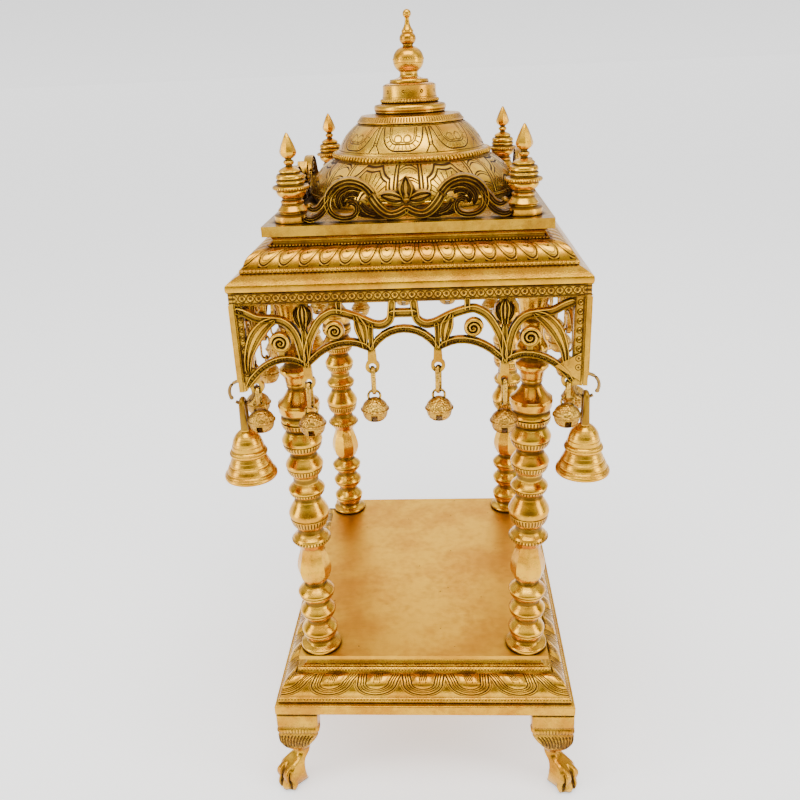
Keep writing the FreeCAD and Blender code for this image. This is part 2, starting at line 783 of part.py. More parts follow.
def jingle(name, link_length):
    link = plate_link(name + "_link", link_bend, link_wire, link_length, -link_seat)
    loop_top = -link_seat - link_length + link_wire + loop_wire + link_gap
    body = doc.addObject("PartDesign::Body", name + "_bell")
    sketch = sketch_on(body, "XZ_Plane", name + "_outline")
    corners = [corner(x=0, level=-1)]
    outer = rows_to_corners(jingle_rows)
    for number, each in enumerate(outer):
        if each["level"] is not None and each["level"] >= 0:
            each["level"] += 1
    corners += outer
    corners.append(corner(x=0, level=len(corners) - 1))
    corners.append(corner(x=0, dy=-(jingle_rows[4]["rise"] + jingle_wall)))
    corners.append(corner(x=jingle_rows[3]["radius"] - jingle_wall, level=len(corners) - 1))
    corners.append(corner(x=jingle_rows[2]["radius"] - jingle_wall, level=3))
    corners.append(corner(x=jingle_rows[1]["radius"] - jingle_wall, level=2))
    corners.append(corner(x=jingle_rows[0]["radius"], dy=-(jingle_rows[1]["rise"] - jingle_wall)))
    corners.append(corner(x=0, level=len(corners) - 1))
    draw_loop(sketch, corners)
    turn = body.newObject("PartDesign::Revolution", name + "_turn")
    turn.Profile = sketch
    turn.ReferenceAxis = (sketch, ["V_Axis"])
    turn.Angle = 360
    body.Placement = FreeCAD.Placement(V(0, 0, 0), FreeCAD.Rotation(V(0, 0, 1), 45))
    slot = doc.addObject("Part::Box", name + "_slot")
    bind(slot, "Length", jingle_slot)
    bind(slot, "Width", jingle_rows[1]["radius"] * 4)
    bind(slot, "Height", jingle_rows[1]["rise"])
    bind(slot, "Placement.Base.x", -jingle_slot * 0.5)
    bind(slot, "Placement.Base.y", -jingle_rows[1]["radius"] * 2)
    bind(slot, "Placement.Base.z", -jingle_wall)
    shell = doc.addObject("Part::Cut", name + "_shell")
    shell.Base = body
    shell.Tool = slot
    loop = eyelet(name + "_loop", loop_bend, loop_wire)
    tall = rise_of(jingle_rows)
    bind(loop, "Placement.Base.z", tall + loop_bend - loop_wire * 2)
    bell = doc.addObject("Part::MultiFuse", name + "_fused")
    bell.Shapes = [shell, loop]
    bind(bell, "Placement.Base.z", loop_top - (tall + loop_bend * 2 - loop_wire * 2))
    return [link, bell]


jingle_pattern = jingle("jingle", link_long)
corner_jingle_pattern = jingle("corner_jingle", corner_link_long)

# Large bell with its tall loop and clapper. Its origin is the lowest point of the corner
# ring's centre line, which passes through the loop.
bell_rows = table("bell", [
    ("mouth", 18.7, 0, 0),
    ("lip", 19.1, 3.0, 0.3),
    ("flare", 12.2, 11.0, -1.4),
    ("waist", 10.4, 8.2, -0.3),
    ("ring", 10.2, 3.4, 1.3),
    ("shoulder", 9.0, 2.2, 0.1),
    ("crown", 4.4, 8.0, 1.4),
    ("cap", 2.4, 1.4, 0.3),
])
bell_body = turned("bell_body", bell_rows, bell_wall, [6, 5, 3, 2, 1, 0])
bell_tall = rise_of(bell_rows)
bell_hook = ring_wire + bell_wire + hang_gap
bell_loop = long_link("bell_loop", bell_bend, bell_wire, bell_loop_long, bell_hook)
bell_low = bell_hook - bell_loop_long - bell_tall + bell_wire * 0.6
bind(bell_body, "Placement.Base.z", bell_low)
bell_whole = doc.addObject("Part::MultiFuse", "bell_whole")
bell_whole.Shapes = [bell_body, bell_loop]
rod_top = bell_low + bell_tall - bell_wall - hang_gap
clapper_long = size("clapper_long", 27.0)
ball = doc.addObject("Part::Sphere", "clapper_ball")
bind(ball, "Radius", clapper_ball)
bind(ball, "Placement.Base.z", rod_top - clapper_long)
rod = doc.addObject("Part::Cylinder", "clapper_rod")
bind(rod, "Radius", clapper_rod)
bind(rod, "Height", clapper_long)
bind(rod, "Placement.Base.z", rod_top - clapper_long)
clapper = doc.addObject("Part::MultiFuse", "clapper")
clapper.Shapes = [ball, rod]

# Pierced panels under the eave. Each is an outer frame, a scalloped band, sprays that join
# the band to the frame, and lugs with holes for the links.
doc.recompute()


def flat(points, thick):
    # A flat piece in the XZ plane, centred on Y = 0.
    wire = Part.makePolygon([V(x, -thick / 2, z) for x, z in points] + [V(points[0][0], -thick / 2, points[0][1])])
    return Part.Face(wire).extrude(V(0, thick, 0))


def arc_points(p, q, top, count=16):
    # Points along the arc from p to q whose middle is at height top.
    chord = math.hypot(q[0] - p[0], q[1] - p[1])
    middle = ((p[0] + q[0]) / 2, (p[1] + q[1]) / 2)
    bow = top - middle[1]
    answer = []
    radius = chord * chord / (8 * bow) + bow / 2
    for step in range(count + 1):
        t = step / count
        x = p[0] + (q[0] - p[0]) * t
        offset = abs(t - 0.5) * chord
        lift = math.sqrt(max(radius * radius - offset * offset, 0)) - (radius - bow)
        answer.append((x, p[1] + (q[1] - p[1]) * t + lift))
    return answer


def smooth(points, steps=3):
    # A smooth run of points through the given ones, which are (x, z) or (x, z, width).
    answer = []
    last = len(points) - 1
    for number in range(last):
        before = points[max(number - 1, 0)]
        here = points[number]
        there = points[number + 1]
        after = points[min(number + 2, last)]
        for step in range(steps):
            t = step / steps
            spot = []
            for a, b, c, d in zip(before, here, there, after):
                lead = (c - a) * t
                swell = (2 * a - 5 * b + 4 * c - d) * t * t
                close = (3 * b - a - 3 * c + d) * t * t * t
                spot.append((2 * b + lead + swell + close) / 2)
            answer.append(tuple(spot))
    answer.append(tuple(points[-1]))
    return answer


def ribbon(points, thick):
    # A flat strip along a smooth line of (x, z, width).
    run = smooth(points)
    low = []
    high = []
    for number, (x, z, width) in enumerate(run):
        a = run[max(number - 1, 0)]
        b = run[min(number + 1, len(run) - 1)]
        long = math.hypot(b[0] - a[0], b[1] - a[1])
        across = (-(b[1] - a[1]) / long * width / 2, (b[0] - a[0]) / long * width / 2)
        low.append((x - across[0], z - across[1]))
        high.append((x + across[0], z + across[1]))
    return flat(low + high[::-1], thick)


def disc(x, z, radius, thick):
    return Part.makeCylinder(radius, thick, V(x, -thick / 2, z), V(0, 1, 0))


def mirrored(points, side, shift=0.0):
    # Points of (x, down, width) on one side of the panel's centre, as (x, z, width).
    return [(shift + side * x, -down, width) for x, down, width in points]


def panel(half, left, right, spots, tops, ornaments, lugs):
    # The low edge runs from spot to spot in arches with the given tops. Heights are below
    # the eave. The ornaments are strips of (x, z, width) and discs of (x, z, radius).
    thick = panel_thick.value
    tall = panel_rise.value
    border = panel_border.value
    rim = panel_top.value
    band = scallop_band.value
    low = []
    for number in range(len(spots) - 1):
        low += arc_points(spots[number], spots[number + 1], -tops[number], 12)[:-1]
    low.append(spots[-1])
    outline = [(-half, -tall)] + low + [(half, -tall), (half, 0), (-half, 0)]
    solid = flat(outline, thick)
    high = [(x, z + band) for x, z in low if -half + left + 1 < x < half - right - 1]
    window = [(-half + left, -rim), (-half + left, high[0][1] + 2.5)] + high
    window += [(half - right, high[-1][1] + 2.5), (half - right, -rim)]
    solid = solid.cut(flat(window, thick * 3))
    joins = []
    for points in ornaments:
        if len(points) == 1:
            joins.append(disc(points[0][0], points[0][1], points[0][2], thick))
        else:
            joins.append(ribbon(points, thick))
    for x, z in lugs:
        joins.append(disc(x, -z, lug_radius.value, thick))
        stem = [(x - 3.4, -z), (x + 3.4, -z), (x + 2.6, -z + 13), (x - 2.6, -z + 13)]
        joins.append(flat(stem, thick))
    solid = solid.fuse(joins)
    solid = solid.common(flat([(-half, -tall - 10), (half, -tall - 10), (half, 0), (-half, 0)], thick * 3))
    for x, z in lugs:
        solid = solid.cut(disc(x, -z, lug_hole.value, thick * 3))
    return solid.removeSplitter()


def panel_piece(name, shape, x, y, turn):
    piece = doc.addObject("Part::Feature", name)
    piece.Shape = shape
    piece.Placement = FreeCAD.Placement(V(0, 0, 0), FreeCAD.Rotation(V(0, 0, 1), turn))
    bind(piece, "Placement.Base.x", x)
    bind(piece, "Placement.Base.y", y)
    bind(piece, "Placement.Base.z", eave)
    return keep(piece, name)


# Scallops of the front and back panels. Each cusp is its distance from the pattern's centre
# and its height below the eave.
cusp_one = (size("front_cusp_one_across", 22.3), size("front_cusp_one_below", 45.2))
cusp_two = (size("front_cusp_two_across", 67.0), size("front_cusp_two_below", 55.6))
corner_lug = (size("corner_lug_across", 106.6), size("corner_lug_below", 67.5))
shift = front_shift_across
front_cusps = [
    (shift - cusp_two[0], cusp_two[1]), (shift - cusp_one[0], cusp_one[1]),
    (shift + cusp_one[0], cusp_one[1]), (shift + cusp_two[0], cusp_two[1]),
]
wide = vine_wide.value
FRONT_VINES = [
    [(114, 12, wide), (106, 14.5, wide), (98, 18.5, wide), (88, 19.5, wide), (80, 21.5, wide),
     (74, 28, wide), (71, 37, wide), (69, 50, wide)],
    [(84, 19.5, 4), (93.5, 24, 8), (101, 33, 8.5), (107, 46, 5), (108, 56, 4)],
    [(83.8, 36, 6.9)],
    [(83.8, 41, 4), (83.8, 45, 4), (84, 49, 4)],
    [(67, 54, 4.4), (67, 40, 4.2), (67, 27, 4.0), (67, 20, 8.0), (67, 14, 11.0), (67, 10, 7.0), (67, 8, 5.0)],
    [(67.5, 50, wide), (64, 35, wide), (57, 22, wide), (50, 16.5, wide), (44, 15.5, wide), (32, 19, wide),
     (21, 24.3, wide), (14, 25, wide), (9, 21.5, wide), (7.8, 15.5, wide), (7, 7, wide)],
    [(42.4, 16, 5), (42.4, 12, 4), (42.4, 7, 5)],
    [(46.2, 28.5, 6.2)],
    [(46.2, 33, 4), (45.5, 37, 4), (45, 40, 4)],
    [(29, 20, 3), (28.2, 26, 4), (27.5, 31, 6), (26.8, 36, 4), (26.4, 41, 4)],
    [(21.8, 24, 4), (22.2, 32, 3.4), (22.3, 44, 4.6)],
]
front_marks = [[(shift.value - 10, -17.2, 5.9), (shift.value, -17.2, 5.9), (shift.value + 10, -17.2, 5.9)]]
for side in (-1, 1):
    for points in FRONT_VINES:
        front_marks.append(mirrored(points, side, shift.value))
front_spots = [(x.value, -z.value) for x, z in front_cusps]
front_spots = [(-113.6, -70.4)] + front_spots + [(109.0, -70.4)]
front_tops = [51.6, 40.0, 30.8, 40.0, 51.6]
front_lugs = [(x, z + lug_drop) for x, z in front_cusps]
lug_front = [(x.value, z.value) for x, z in front_lugs]
lug_front += [(corner_lug[0].value * side, corner_lug[1].value) for side in (-1, 1)]
border = panel_border.value
front_shape = panel(front_half.value, 5.6, border, front_spots, front_tops, front_marks, lug_front)
back_shape = front_shape.copy()
# A small sheet soldered over the right end of the front panel
patch = [(96.9, -56.5), (114.8, -47.2), (114.7, -67.9)]
patch_sheet = flat(patch, gusset_thick.value)
patch_sheet.translate(V(0, -(panel_thick.value + gusset_thick.value) / 2, 0))
front_shape = front_shape.fuse(patch_sheet)
front_y = eave_half + depth_extra - cornice_wall * 0.5 - size("front_shift", 0.9)
panel_piece("valance_front", front_shape, 0, -front_y, 0)
panel_piece("valance_back", back_shape, 0, front_y, 180)

side_half = front_y + panel_thick * 0.5
side_cusps = [
    (size("side_cusp_one_across", 20.7), size("side_cusp_one_below", 41.2)),
    (size("side_cusp_two_across", 62.1), size("side_cusp_two_below", 47.2)),
    (size("side_cusp_three_across", 104.6), size("side_cusp_three_below", 55.6)),
]
SIDE_VINES = [
    [(144, 12, wide), (136, 17.5, wide), (126, 19.5, wide), (117.6, 21.5, wide), (111.6, 28, wide),
     (108.6, 37, wide), (106.6, 50, wide)],
    [(121, 19.5, 4), (129, 24.5, 7.5), (134.6, 33, 7.5), (138.4, 44, 5), (139, 54, 4)],
    [(120.6, 34.5, 6.6)],
    [(120.6, 40, 4), (120.6, 44, 4), (120.8, 48, 4)],
    [(104.6, 54, 4.4), (104.6, 40, 4.2), (104.6, 27, 4.0), (104.6, 20, 8.0), (104.6, 14, 11.0),
     (104.6, 10, 7.0), (104.6, 8, 5.0)],
    [(104.6, 50, wide), (101.4, 36, wide), (94.5, 23, wide), (84, 15.8, wide), (73, 19.5, wide),
     (66, 25.5, wide), (62, 31, wide)],
    [(83.6, 16, 5), (83.6, 12, 4), (83.6, 7, 5)],
    [(82.6, 26.8, 5.8)],
    [(82.6, 31, 4), (82.6, 35, 4), (82.6, 39, 4)],
    [(62.1, 46, 4.4), (62.1, 34, 4.2), (62.1, 25, 4.0), (62.1, 19, 8.0), (62.1, 14, 10.4),
     (62.1, 10, 7.0), (62.1, 8, 5.0)],
    [(62, 42, wide), (59.5, 30, wide), (53, 20.5, wide), (46, 15.8, wide), (38, 15.2, wide), (29, 18.5, wide),
     (20.5, 22.3, wide), (13.5, 23, wide), (9, 20.5, wide), (7.8, 15.5, wide), (7, 7, wide)],
    [(40.4, 16, 5), (40.4, 12, 4), (40.4, 7, 5)],
    [(42.2, 23.6, 4.9)],
    [(42.2, 26, 4), (42.0, 29, 4), (41.6, 33, 4)],
    [(20.7, 22, 4), (20.7, 30, 3.4), (20.7, 40, 4.6)],
]
side_marks = [[(-10, -16.6, 5.4), (0, -16.6, 5.4), (10, -16.6, 5.4)]]
for side in (-1, 1):
    for points in SIDE_VINES:
        side_marks.append(mirrored(points, side))
side_corner = (side_half.value - 5.6, 70.4)
side_spots = [(-side_corner[0], -side_corner[1])]
side_spots += [(-x.value, -z.value) for x, z in reversed(side_cusps)]
side_spots += [(x.value, -z.value) for x, z in side_cusps]
side_spots += [(side_corner[0], -side_corner[1])]
side_tops = [50.8, 41.4, 33.6, 27.6, 33.6, 41.4, 50.8]
side_lugs = [(x, z + lug_drop) for x, z in side_cusps]
lug_side = []
for x, z in side_lugs:
    lug_side += [(x.value, z.value), (-x.value, z.value)]
ring_z = panel_rise - ring_hole_rise
side_shape = panel(side_half.value, border, border, side_spots, side_tops, side_marks, lug_side)
ring_spot = side_half - ring_inset
ring_lug = ring_hole + size("ring_lug_wall", 2.2)
for side in (-1, 1):
    side_shape = side_shape.fuse(disc(side * ring_spot.value, -ring_z.value, ring_lug.value, panel_thick.value))
for side in (-1, 1):
    hole = disc(side * ring_spot.value, -ring_z.value, ring_hole.value, panel_thick.value * 2)
    side_shape = side_shape.cut(hole)
side_shape = side_shape.removeSplitter()
side_x = front_half + panel_seam + panel_thick * 0.5
panel_piece("valance_left", side_shape, -side_x, 0, 270)
panel_piece("valance_right", side_shape, side_x, 0, 90)

# Rings that hang through the lower corners of the side panels
ring_centre_x = side_x + ring_outset
ring_centre_z = eave - ring_z - ring_bend
rings = []
for place, side, depth in QUARTERS:
    hoop = doc.addObject("Part::Torus", "ring_" + place)
    bind(hoop, "Radius1", ring_bend)
    bind(hoop, "Radius2", ring_wire)
    hoop.Placement = FreeCAD.Placement(V(0, 0, 0), FreeCAD.Rotation(V(1, 0, 0), 90))
    bind(hoop, "Placement.Base.x", ring_centre_x * side)
    bind(hoop, "Placement.Base.y", ring_spot * depth)
    bind(hoop, "Placement.Base.z", ring_centre_z)
    rings.append(hoop)
group = doc.addObject("Part::Compound", "corner_rings")
group.Links = rings
keep(group, "corner_rings")

# Hanging bells
hangers = {}
for label, depth, turn in (("front", -1, 0), ("back", 1, 180)):
    hooks = front_lugs
    if depth > 0:
        hooks = [(-x, z) for x, z in reversed(front_lugs)]
    for number, (x, z) in enumerate(hooks):
        name = "jingle_%s_%d" % (label, number + 1)
        hung = placed(name, jingle_pattern, x, front_y * depth, eave - z, turn)
        keep(hung, name)
for label, side, turn in (("left", -1, 270), ("right", 1, 90)):
    for number in range(6):
        where = [-2, -1, 0, 0, 1, 2][number]
        x, z = side_lugs[[2, 1, 0, 0, 1, 2][number]]
        if number < 3:
            x = -x
        name = "jingle_%s_%d" % (label, number + 1)
        hung = placed(name, jingle_pattern, side_x * side, x, eave - z, turn)
        keep(hung, name)
for place, side, depth in QUARTERS:
    turn = 0
    if depth > 0:
        turn = 180
    name = "jingle_corner_" + place
    spot = (corner_lug[0] * side, front_y * depth, eave - corner_lug[1])
    hung = placed(name, corner_jingle_pattern, spot[0], spot[1], spot[2], turn)
    keep(hung, name)
for place, side, depth in QUARTERS:
    name = "bell_" + place
    spot = (ring_centre_x * side, ring_spot * depth, ring_centre_z - ring_bend)
    hung = placed(name, [bell_whole, clapper], spot[0], spot[1], spot[2])
    keep(hung, name)

# Scroll crests on the roof, one along each side: two scroll arches and a lotus flower.
# Each strip is (x, z, width) on one side of the crest's centre.
CREST = [
    [(22.5, 17.0, 6.5), (26.5, 22.0, 6.0), (32, 25.2, 6.2), (38.5, 26.2, 6.2), (45, 24.2, 6.2), (50, 19.8, 6.2),
     (52.3, 14.2, 5.6), (51.8, 8.8, 5.0), (48.5, 4.6, 4.8), (42.5, 2.8, 4.8), (36.5, 3.6, 4.6),
     (33.4, 6.8, 4.2), (33.6, 10.8, 4.0), (36.6, 12.8, 4.0), (39.6, 11.4, 4.4)],
    [(49.5, 20, 4.0), (55, 14.5, 4.4), (58.5, 10.4, 4.4), (62.5, 9.0, 4.0), (65.6, 11.2, 4.4)],
    [(52.0, 13, 4.0), (55.5, 7.4, 4.2), (60, 3.8, 4.0), (65, 2.5, 4.2), (69, 3.8, 4.0)],
    [(37.2, 19.0, 4.6)],
    [(46, 22.5, 5.0), (44.6, 17, 4.6), (45.8, 12.4, 3.0)],
    [(24.5, 17.5, 6.5), (21.5, 12.5, 7.0), (17, 7.2, 7.0), (11.5, 4.2, 6.6), (5.5, 5.0, 6.6), (-0.5, 8.2, 7.4)],
    [(29.3, 11.4, 3.0)],
    [(29.6, 10.0, 3.6), (26, 6.6, 4.0), (20, 4.4, 4.0)],
    [(34, 6.0, 3.4), (29, 4.0, 3.2), (25, 3.6, 3.2), (20, 2.4, 3.2), (14, 3.0, 3.2)],
    [(2, 10.6, 5.0), (5.4, 13.4, 8.6), (10.4, 15.0, 8.2), (16.4, 16.0, 2.0)],
    [(0, 12, 10.0), (0, 18, 13.0), (0, 23.5, 9.0), (0, 28.4, 1.6)],
]


def crest_shape():
    thick = crest_thick.value
    joins = [disc(0, 14.1, 4.4, thick)]
    for side in (-1, 1):
        foot = [(side * 45.6, 0), (side * 39.4, 0), (side * 40.6, 2.4), (side * 44.4, 2.4)]
        joins.append(flat(foot, thick))
        foot = [(side * 13.6, 0), (side * 9.4, 0), (side * 10.0, 2.4), (side * 13.0, 2.4)]
        joins.append(flat(foot, thick))
        for points in CREST:
            points = [(side * x, z, width) for x, z, width in points]
            if len(points) == 1:
                joins.append(disc(points[0][0], points[0][1], points[0][2], thick))
            elif abs(points[0][0]) < 0.1 and side > 0:
                continue
            else:
                joins.append(ribbon(points, thick))
    solid = joins[0].fuse(joins[1:])
    return solid.removeSplitter()


crest_made = crest_shape()
crests = []
for name, x, y, turn in (
    ("front", 0, -(slab_half + depth_extra - crest_inset), 0),
    ("back", 0, slab_half + depth_extra - crest_inset, 180),
    ("left", -(slab_half - crest_inset), 0, 270),
    ("right", slab_half - crest_inset, 0, 90),
):
    piece = doc.addObject("Part::Feature", "crest_" + name)
    piece.Shape = crest_made
    piece.Placement = FreeCAD.Placement(V(0, 0, 0), FreeCAD.Rotation(V(0, 0, 1), turn))
    bind(piece, "Placement.Base.x", x)
    bind(piece, "Placement.Base.y", y)
    bind(piece, "Placement.Base.z", roof)
    crests.append(piece)
group = doc.addObject("Part::Compound", "roof_crests")
group.Links = crests
keep(group, "roof_crests")

doc.recompute()
faults = []
for each in doc.Objects:
    if "Invalid" in each.State or "Error" in each.State:
        faults.append("%s is in state %s" % (each.Name, each.State))
for each in nodes:
    if each.Shape.isNull() or not each.Shape.isValid() or not each.Shape.Solids:
        faults.append("%s has no valid shape" % each.Label)
if faults:
    raise SystemExit("\n".join(faults))
for each in nodes:
    each.Shape.exportStep("parts/%s.step" % each.Label)
    box = each.Shape.optimalBoundingBox(False, False)
    text = "%-26s %2d solids %9.1f mm3  x %7.2f %7.2f  y %7.2f %7.2f  z %7.2f %7.2f"
    print(text % (each.Label, len(each.Shape.Solids), each.Shape.Volume,
                  box.XMin, box.XMax, box.YMin, box.YMax, box.ZMin, box.ZMax))
print(len(nodes), "pieces,", len(values), "sizes")
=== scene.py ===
# %% [markdown]
# # Brass household shrine
# The solids of this shrine come from a CAD model: its body of plates, mouldings, pillars
# and dome, and the bells that swing under its eave. This lesson dresses that model. It
# keeps the solids whose shape is right, gives them a worked metal finish, and adds the
# carving, beads and paws that a caster would cut into the pattern.

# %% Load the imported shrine
import math
import bpy
from mathutils import Matrix, Vector


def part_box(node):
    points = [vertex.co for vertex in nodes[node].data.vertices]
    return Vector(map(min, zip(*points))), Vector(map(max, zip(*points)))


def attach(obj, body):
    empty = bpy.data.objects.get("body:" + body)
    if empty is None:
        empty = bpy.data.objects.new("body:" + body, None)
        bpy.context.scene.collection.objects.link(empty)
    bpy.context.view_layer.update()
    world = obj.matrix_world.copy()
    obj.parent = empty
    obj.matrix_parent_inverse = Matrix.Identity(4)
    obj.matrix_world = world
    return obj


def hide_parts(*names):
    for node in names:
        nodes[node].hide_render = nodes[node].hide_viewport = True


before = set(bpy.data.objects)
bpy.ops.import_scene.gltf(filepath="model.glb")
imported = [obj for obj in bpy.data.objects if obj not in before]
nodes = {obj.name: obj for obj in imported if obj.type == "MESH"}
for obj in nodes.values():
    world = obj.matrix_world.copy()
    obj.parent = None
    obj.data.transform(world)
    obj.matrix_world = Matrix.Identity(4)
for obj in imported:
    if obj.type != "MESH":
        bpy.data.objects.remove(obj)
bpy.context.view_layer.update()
MM = 0.001

# %% [markdown]
# ## Sizes
# The places of the pieces are worked out from the boxes of the CAD solids, so that a piece
# sits on what carries it. The frame counts in metres. The lists below are in millimetres.

# %% Places taken from the solids
def low(node):
    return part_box(node)[0]


def high(node):
    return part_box(node)[1]


EAVE = low("cornice").z / MM
ROOF = high("roof_slab").z / MM
EXTRA = (high("floor_plate").y - high("floor_plate").x) / MM
FRONT_PANEL = (low("valance_back").y + high("valance_back").y) / 2 / MM
SIDE_PANEL = (low("valance_right").x + high("valance_right").x) / 2 / MM
FRONT_HALF = 116.0
SIDE_HALF = high("valance_right").y / MM
PLACES = {"front_left": (-1, -1), "front_right": (1, -1), "back_left": (-1, 1), "back_right": (1, 1)}
print("eave at %.1f mm, roof at %.1f mm" % (EAVE, ROOF))

# %% [markdown]
# ## Camera
# The camera stands a little to the right of the shrine's middle and above it, and looks
# down on it. Its heading, its tilt and its small roll were solved from the edges of the
# mouldings, so each is a plain angle here.

# %% Place the camera
CAMERA_PLACE = Vector((0.0261, -0.6647, 0.5738))
HEADING = math.radians(-3.77)
DOWN = math.radians(22.49)
ROLL = math.radians(-2.55)
LENS = 36.67
SENSOR = 36
flat = math.cos(DOWN)
ahead = Vector((math.sin(HEADING) * flat, math.cos(HEADING) * flat, -math.sin(DOWN)))
level = Vector((math.cos(HEADING), -math.sin(HEADING), 0))
upright = level.cross(ahead)
across = level * math.cos(ROLL) + upright * math.sin(ROLL)
upward = upright * math.cos(ROLL) - level * math.sin(ROLL)
bpy.ops.object.camera_add(location=CAMERA_PLACE)
camera = bpy.context.object
camera.name = "camera"
camera.rotation_euler = Matrix((across, upward, -ahead)).transposed().to_euler()
camera.data.lens = LENS
camera.data.sensor_width = SENSOR
camera.data.clip_start = 0.01
camera.data.dof.use_dof = False
bpy.context.scene.camera = camera
print("camera at", [round(value, 3) for value in CAMERA_PLACE])

# %% [markdown]
# ## Sums on shader sockets
# A finish is a graph of nodes. Written by hand it needs a node for each sum, so a small
# class stands for one output, and ordinary Python sums on it add the Math nodes.

# %% A class for shader sums
class Signal:
    """One output of a node. A sum on it adds a Math node."""

    def __init__(self, finish, socket):
        self.finish = finish
        self.socket = socket

    def math(self, operation, *others, clamp=False):
        settings = {"operation": operation, "use_clamp": clamp}
        return self.finish.node("ShaderNodeMath", settings, dict(enumerate((self, *others))))

    def __rsub__(self, other):
        return self.finish.node("ShaderNodeMath", {"operation": "SUBTRACT"}, {0: other, 1: self})

    def __neg__(self):
        return self * -1.0

    def highest(self, *others):
        answer = self
        for other in others:
            answer = answer.math("MAXIMUM", other)
        return answer

    def over(self, start, end):
        """0 below start and 1 above end, with a smooth rise between them."""
        inputs = {"Value": self, "From Min": start, "From Max": end}
        return self.finish.node("ShaderNodeMapRange", {"interpolation_type": "SMOOTHSTEP"}, inputs)

    def under(self, start, end):
        return 1.0 - self.over(start, end)

    def near(self, place, width):
        """1 on a line at this place and 0 beyond its width."""
        return abs(self - place).under(width * 0.35, width)

    def folded(self, pitch):
        """Distance to the nearest multiple of the pitch."""
        return abs((self / pitch + 0.5).math("FRACT") - 0.5) * pitch


def sum_method(operation):
    """A method that adds one Math node for this operation."""
    def method(self, *others):
        return self.math(operation, *others)
    return method


SUMS = {"__add__": "ADD", "__radd__": "ADD", "__sub__": "SUBTRACT", "__mul__": "MULTIPLY",
        "__rmul__": "MULTIPLY", "__truediv__": "DIVIDE", "__pow__": "POWER", "__abs__": "ABSOLUTE",
        "lowest": "MINIMUM"}
for sign, operation in SUMS.items():
    setattr(Signal, sign, sum_method(operation))


def distance(*parts):
    """The length of a vector whose parts are signals."""
    total = parts[0] * parts[0]
    for part in parts[1:]:
        total = total + part * part
    return total.math("SQRT")


# %% A class for one finish
class Finish:
    """A material that is being made. Its method node makes a node, sets it and joins it."""

    def __init__(self, name):
        self.material = bpy.data.materials.new(name)
        self.material.use_nodes = True
        self.tree = self.material.node_tree
        self.tree.nodes.clear()

    def node(self, kind, settings=None, inputs=None, output=0):
        made = self.tree.nodes.new(kind)
        for key, value in (settings or {}).items():
            setattr(made, key, value)
        for key, value in (inputs or {}).items():
            if isinstance(value, Signal):
                self.tree.links.new(value.socket, made.inputs[key])
            else:
                made.inputs[key].default_value = value
        if len(made.outputs):
            return Signal(self, made.outputs[output])

    def parts(self, vector):
        """The x, y and z of a vector."""
        split = self.tree.nodes.new("ShaderNodeSeparateXYZ")
        self.tree.links.new(vector.socket, split.inputs[0])
        return [Signal(self, output) for output in split.outputs]

    def spot(self):
        return self.node("ShaderNodeTexCoord", output="Object")

    def place(self):
        """The x, y and z of a point on the piece, in millimetres."""
        return [part / MM for part in self.parts(self.spot())]

    def around(self, middle_x=0.0, middle_y=0.0):
        """Angle in degrees round a post, the same for all four posts at these distances from the middle."""
        x, y, z = self.place()
        return (abs(x) - middle_x).math("ARCTAN2", abs(y) - middle_y) * DEGREES, z

    def noise(self, size, detail=3.0, rough=0.55, stretch=None):
        """Cloudy noise whose blots have about the given size in millimetres."""
        where = self.spot()
        if stretch:
            where = self.node("ShaderNodeMapping", {}, {"Vector": where, "Scale": stretch})
        inputs = {"Vector": where, "Scale": 1 / (size * MM), "Detail": detail, "Roughness": rough}
        return self.node("ShaderNodeTexNoise", {}, inputs)

    def cells(self, size, randomness):
        """Distance to the nearest of many scattered spots, which lie about this many millimetres apart."""
        inputs = {"Vector": self.spot(), "Scale": 1 / (size * MM), "Randomness": randomness}
        return self.node("ShaderNodeTexVoronoi", {"feature": "F1"}, inputs)

    def mix(self, share, first, second):
        return self.node("ShaderNodeMix", {"data_type": "RGBA"}, {0: share, 6: first, 7: second}, output=2)

    def metal(self, settings):
        """Finish the graph with the shader that has these inputs."""
        shader = self.node("ShaderNodeBsdfPrincipled", {}, settings)
        self.node("ShaderNodeOutputMaterial", {}, {"Surface": shader})
        return self.material


DEGREES = 180 / math.pi
print("shader sums are ready")

# %% [markdown]
# ## The brass
# Cast brass is one metal with two faces. Where a cloth reaches, it is bright gold with
# faint clouds and hairlines. Where it doesn't, in grooves and under edges, a brown skin
# stays. The recipe therefore mixes two metals by how open the surface is, which the
# Ambient Occlusion node measures, and by engraved lines that each finish draws itself.

# %% The recipe for every brass finish
BRIGHT = (0.77, 0.405, 0.020, 1)
ORANGE = (0.60, 0.262, 0.009, 1)
BROWN = (0.046, 0.0185, 0.005, 1)
# The dome's gold is lighter than BRIGHT. This is painted light: it stands in for the brighter light that
# falls on the top of the shrine.
DOME_PAINTED_LIGHT = (0.90, 0.52, 0.040, 1)


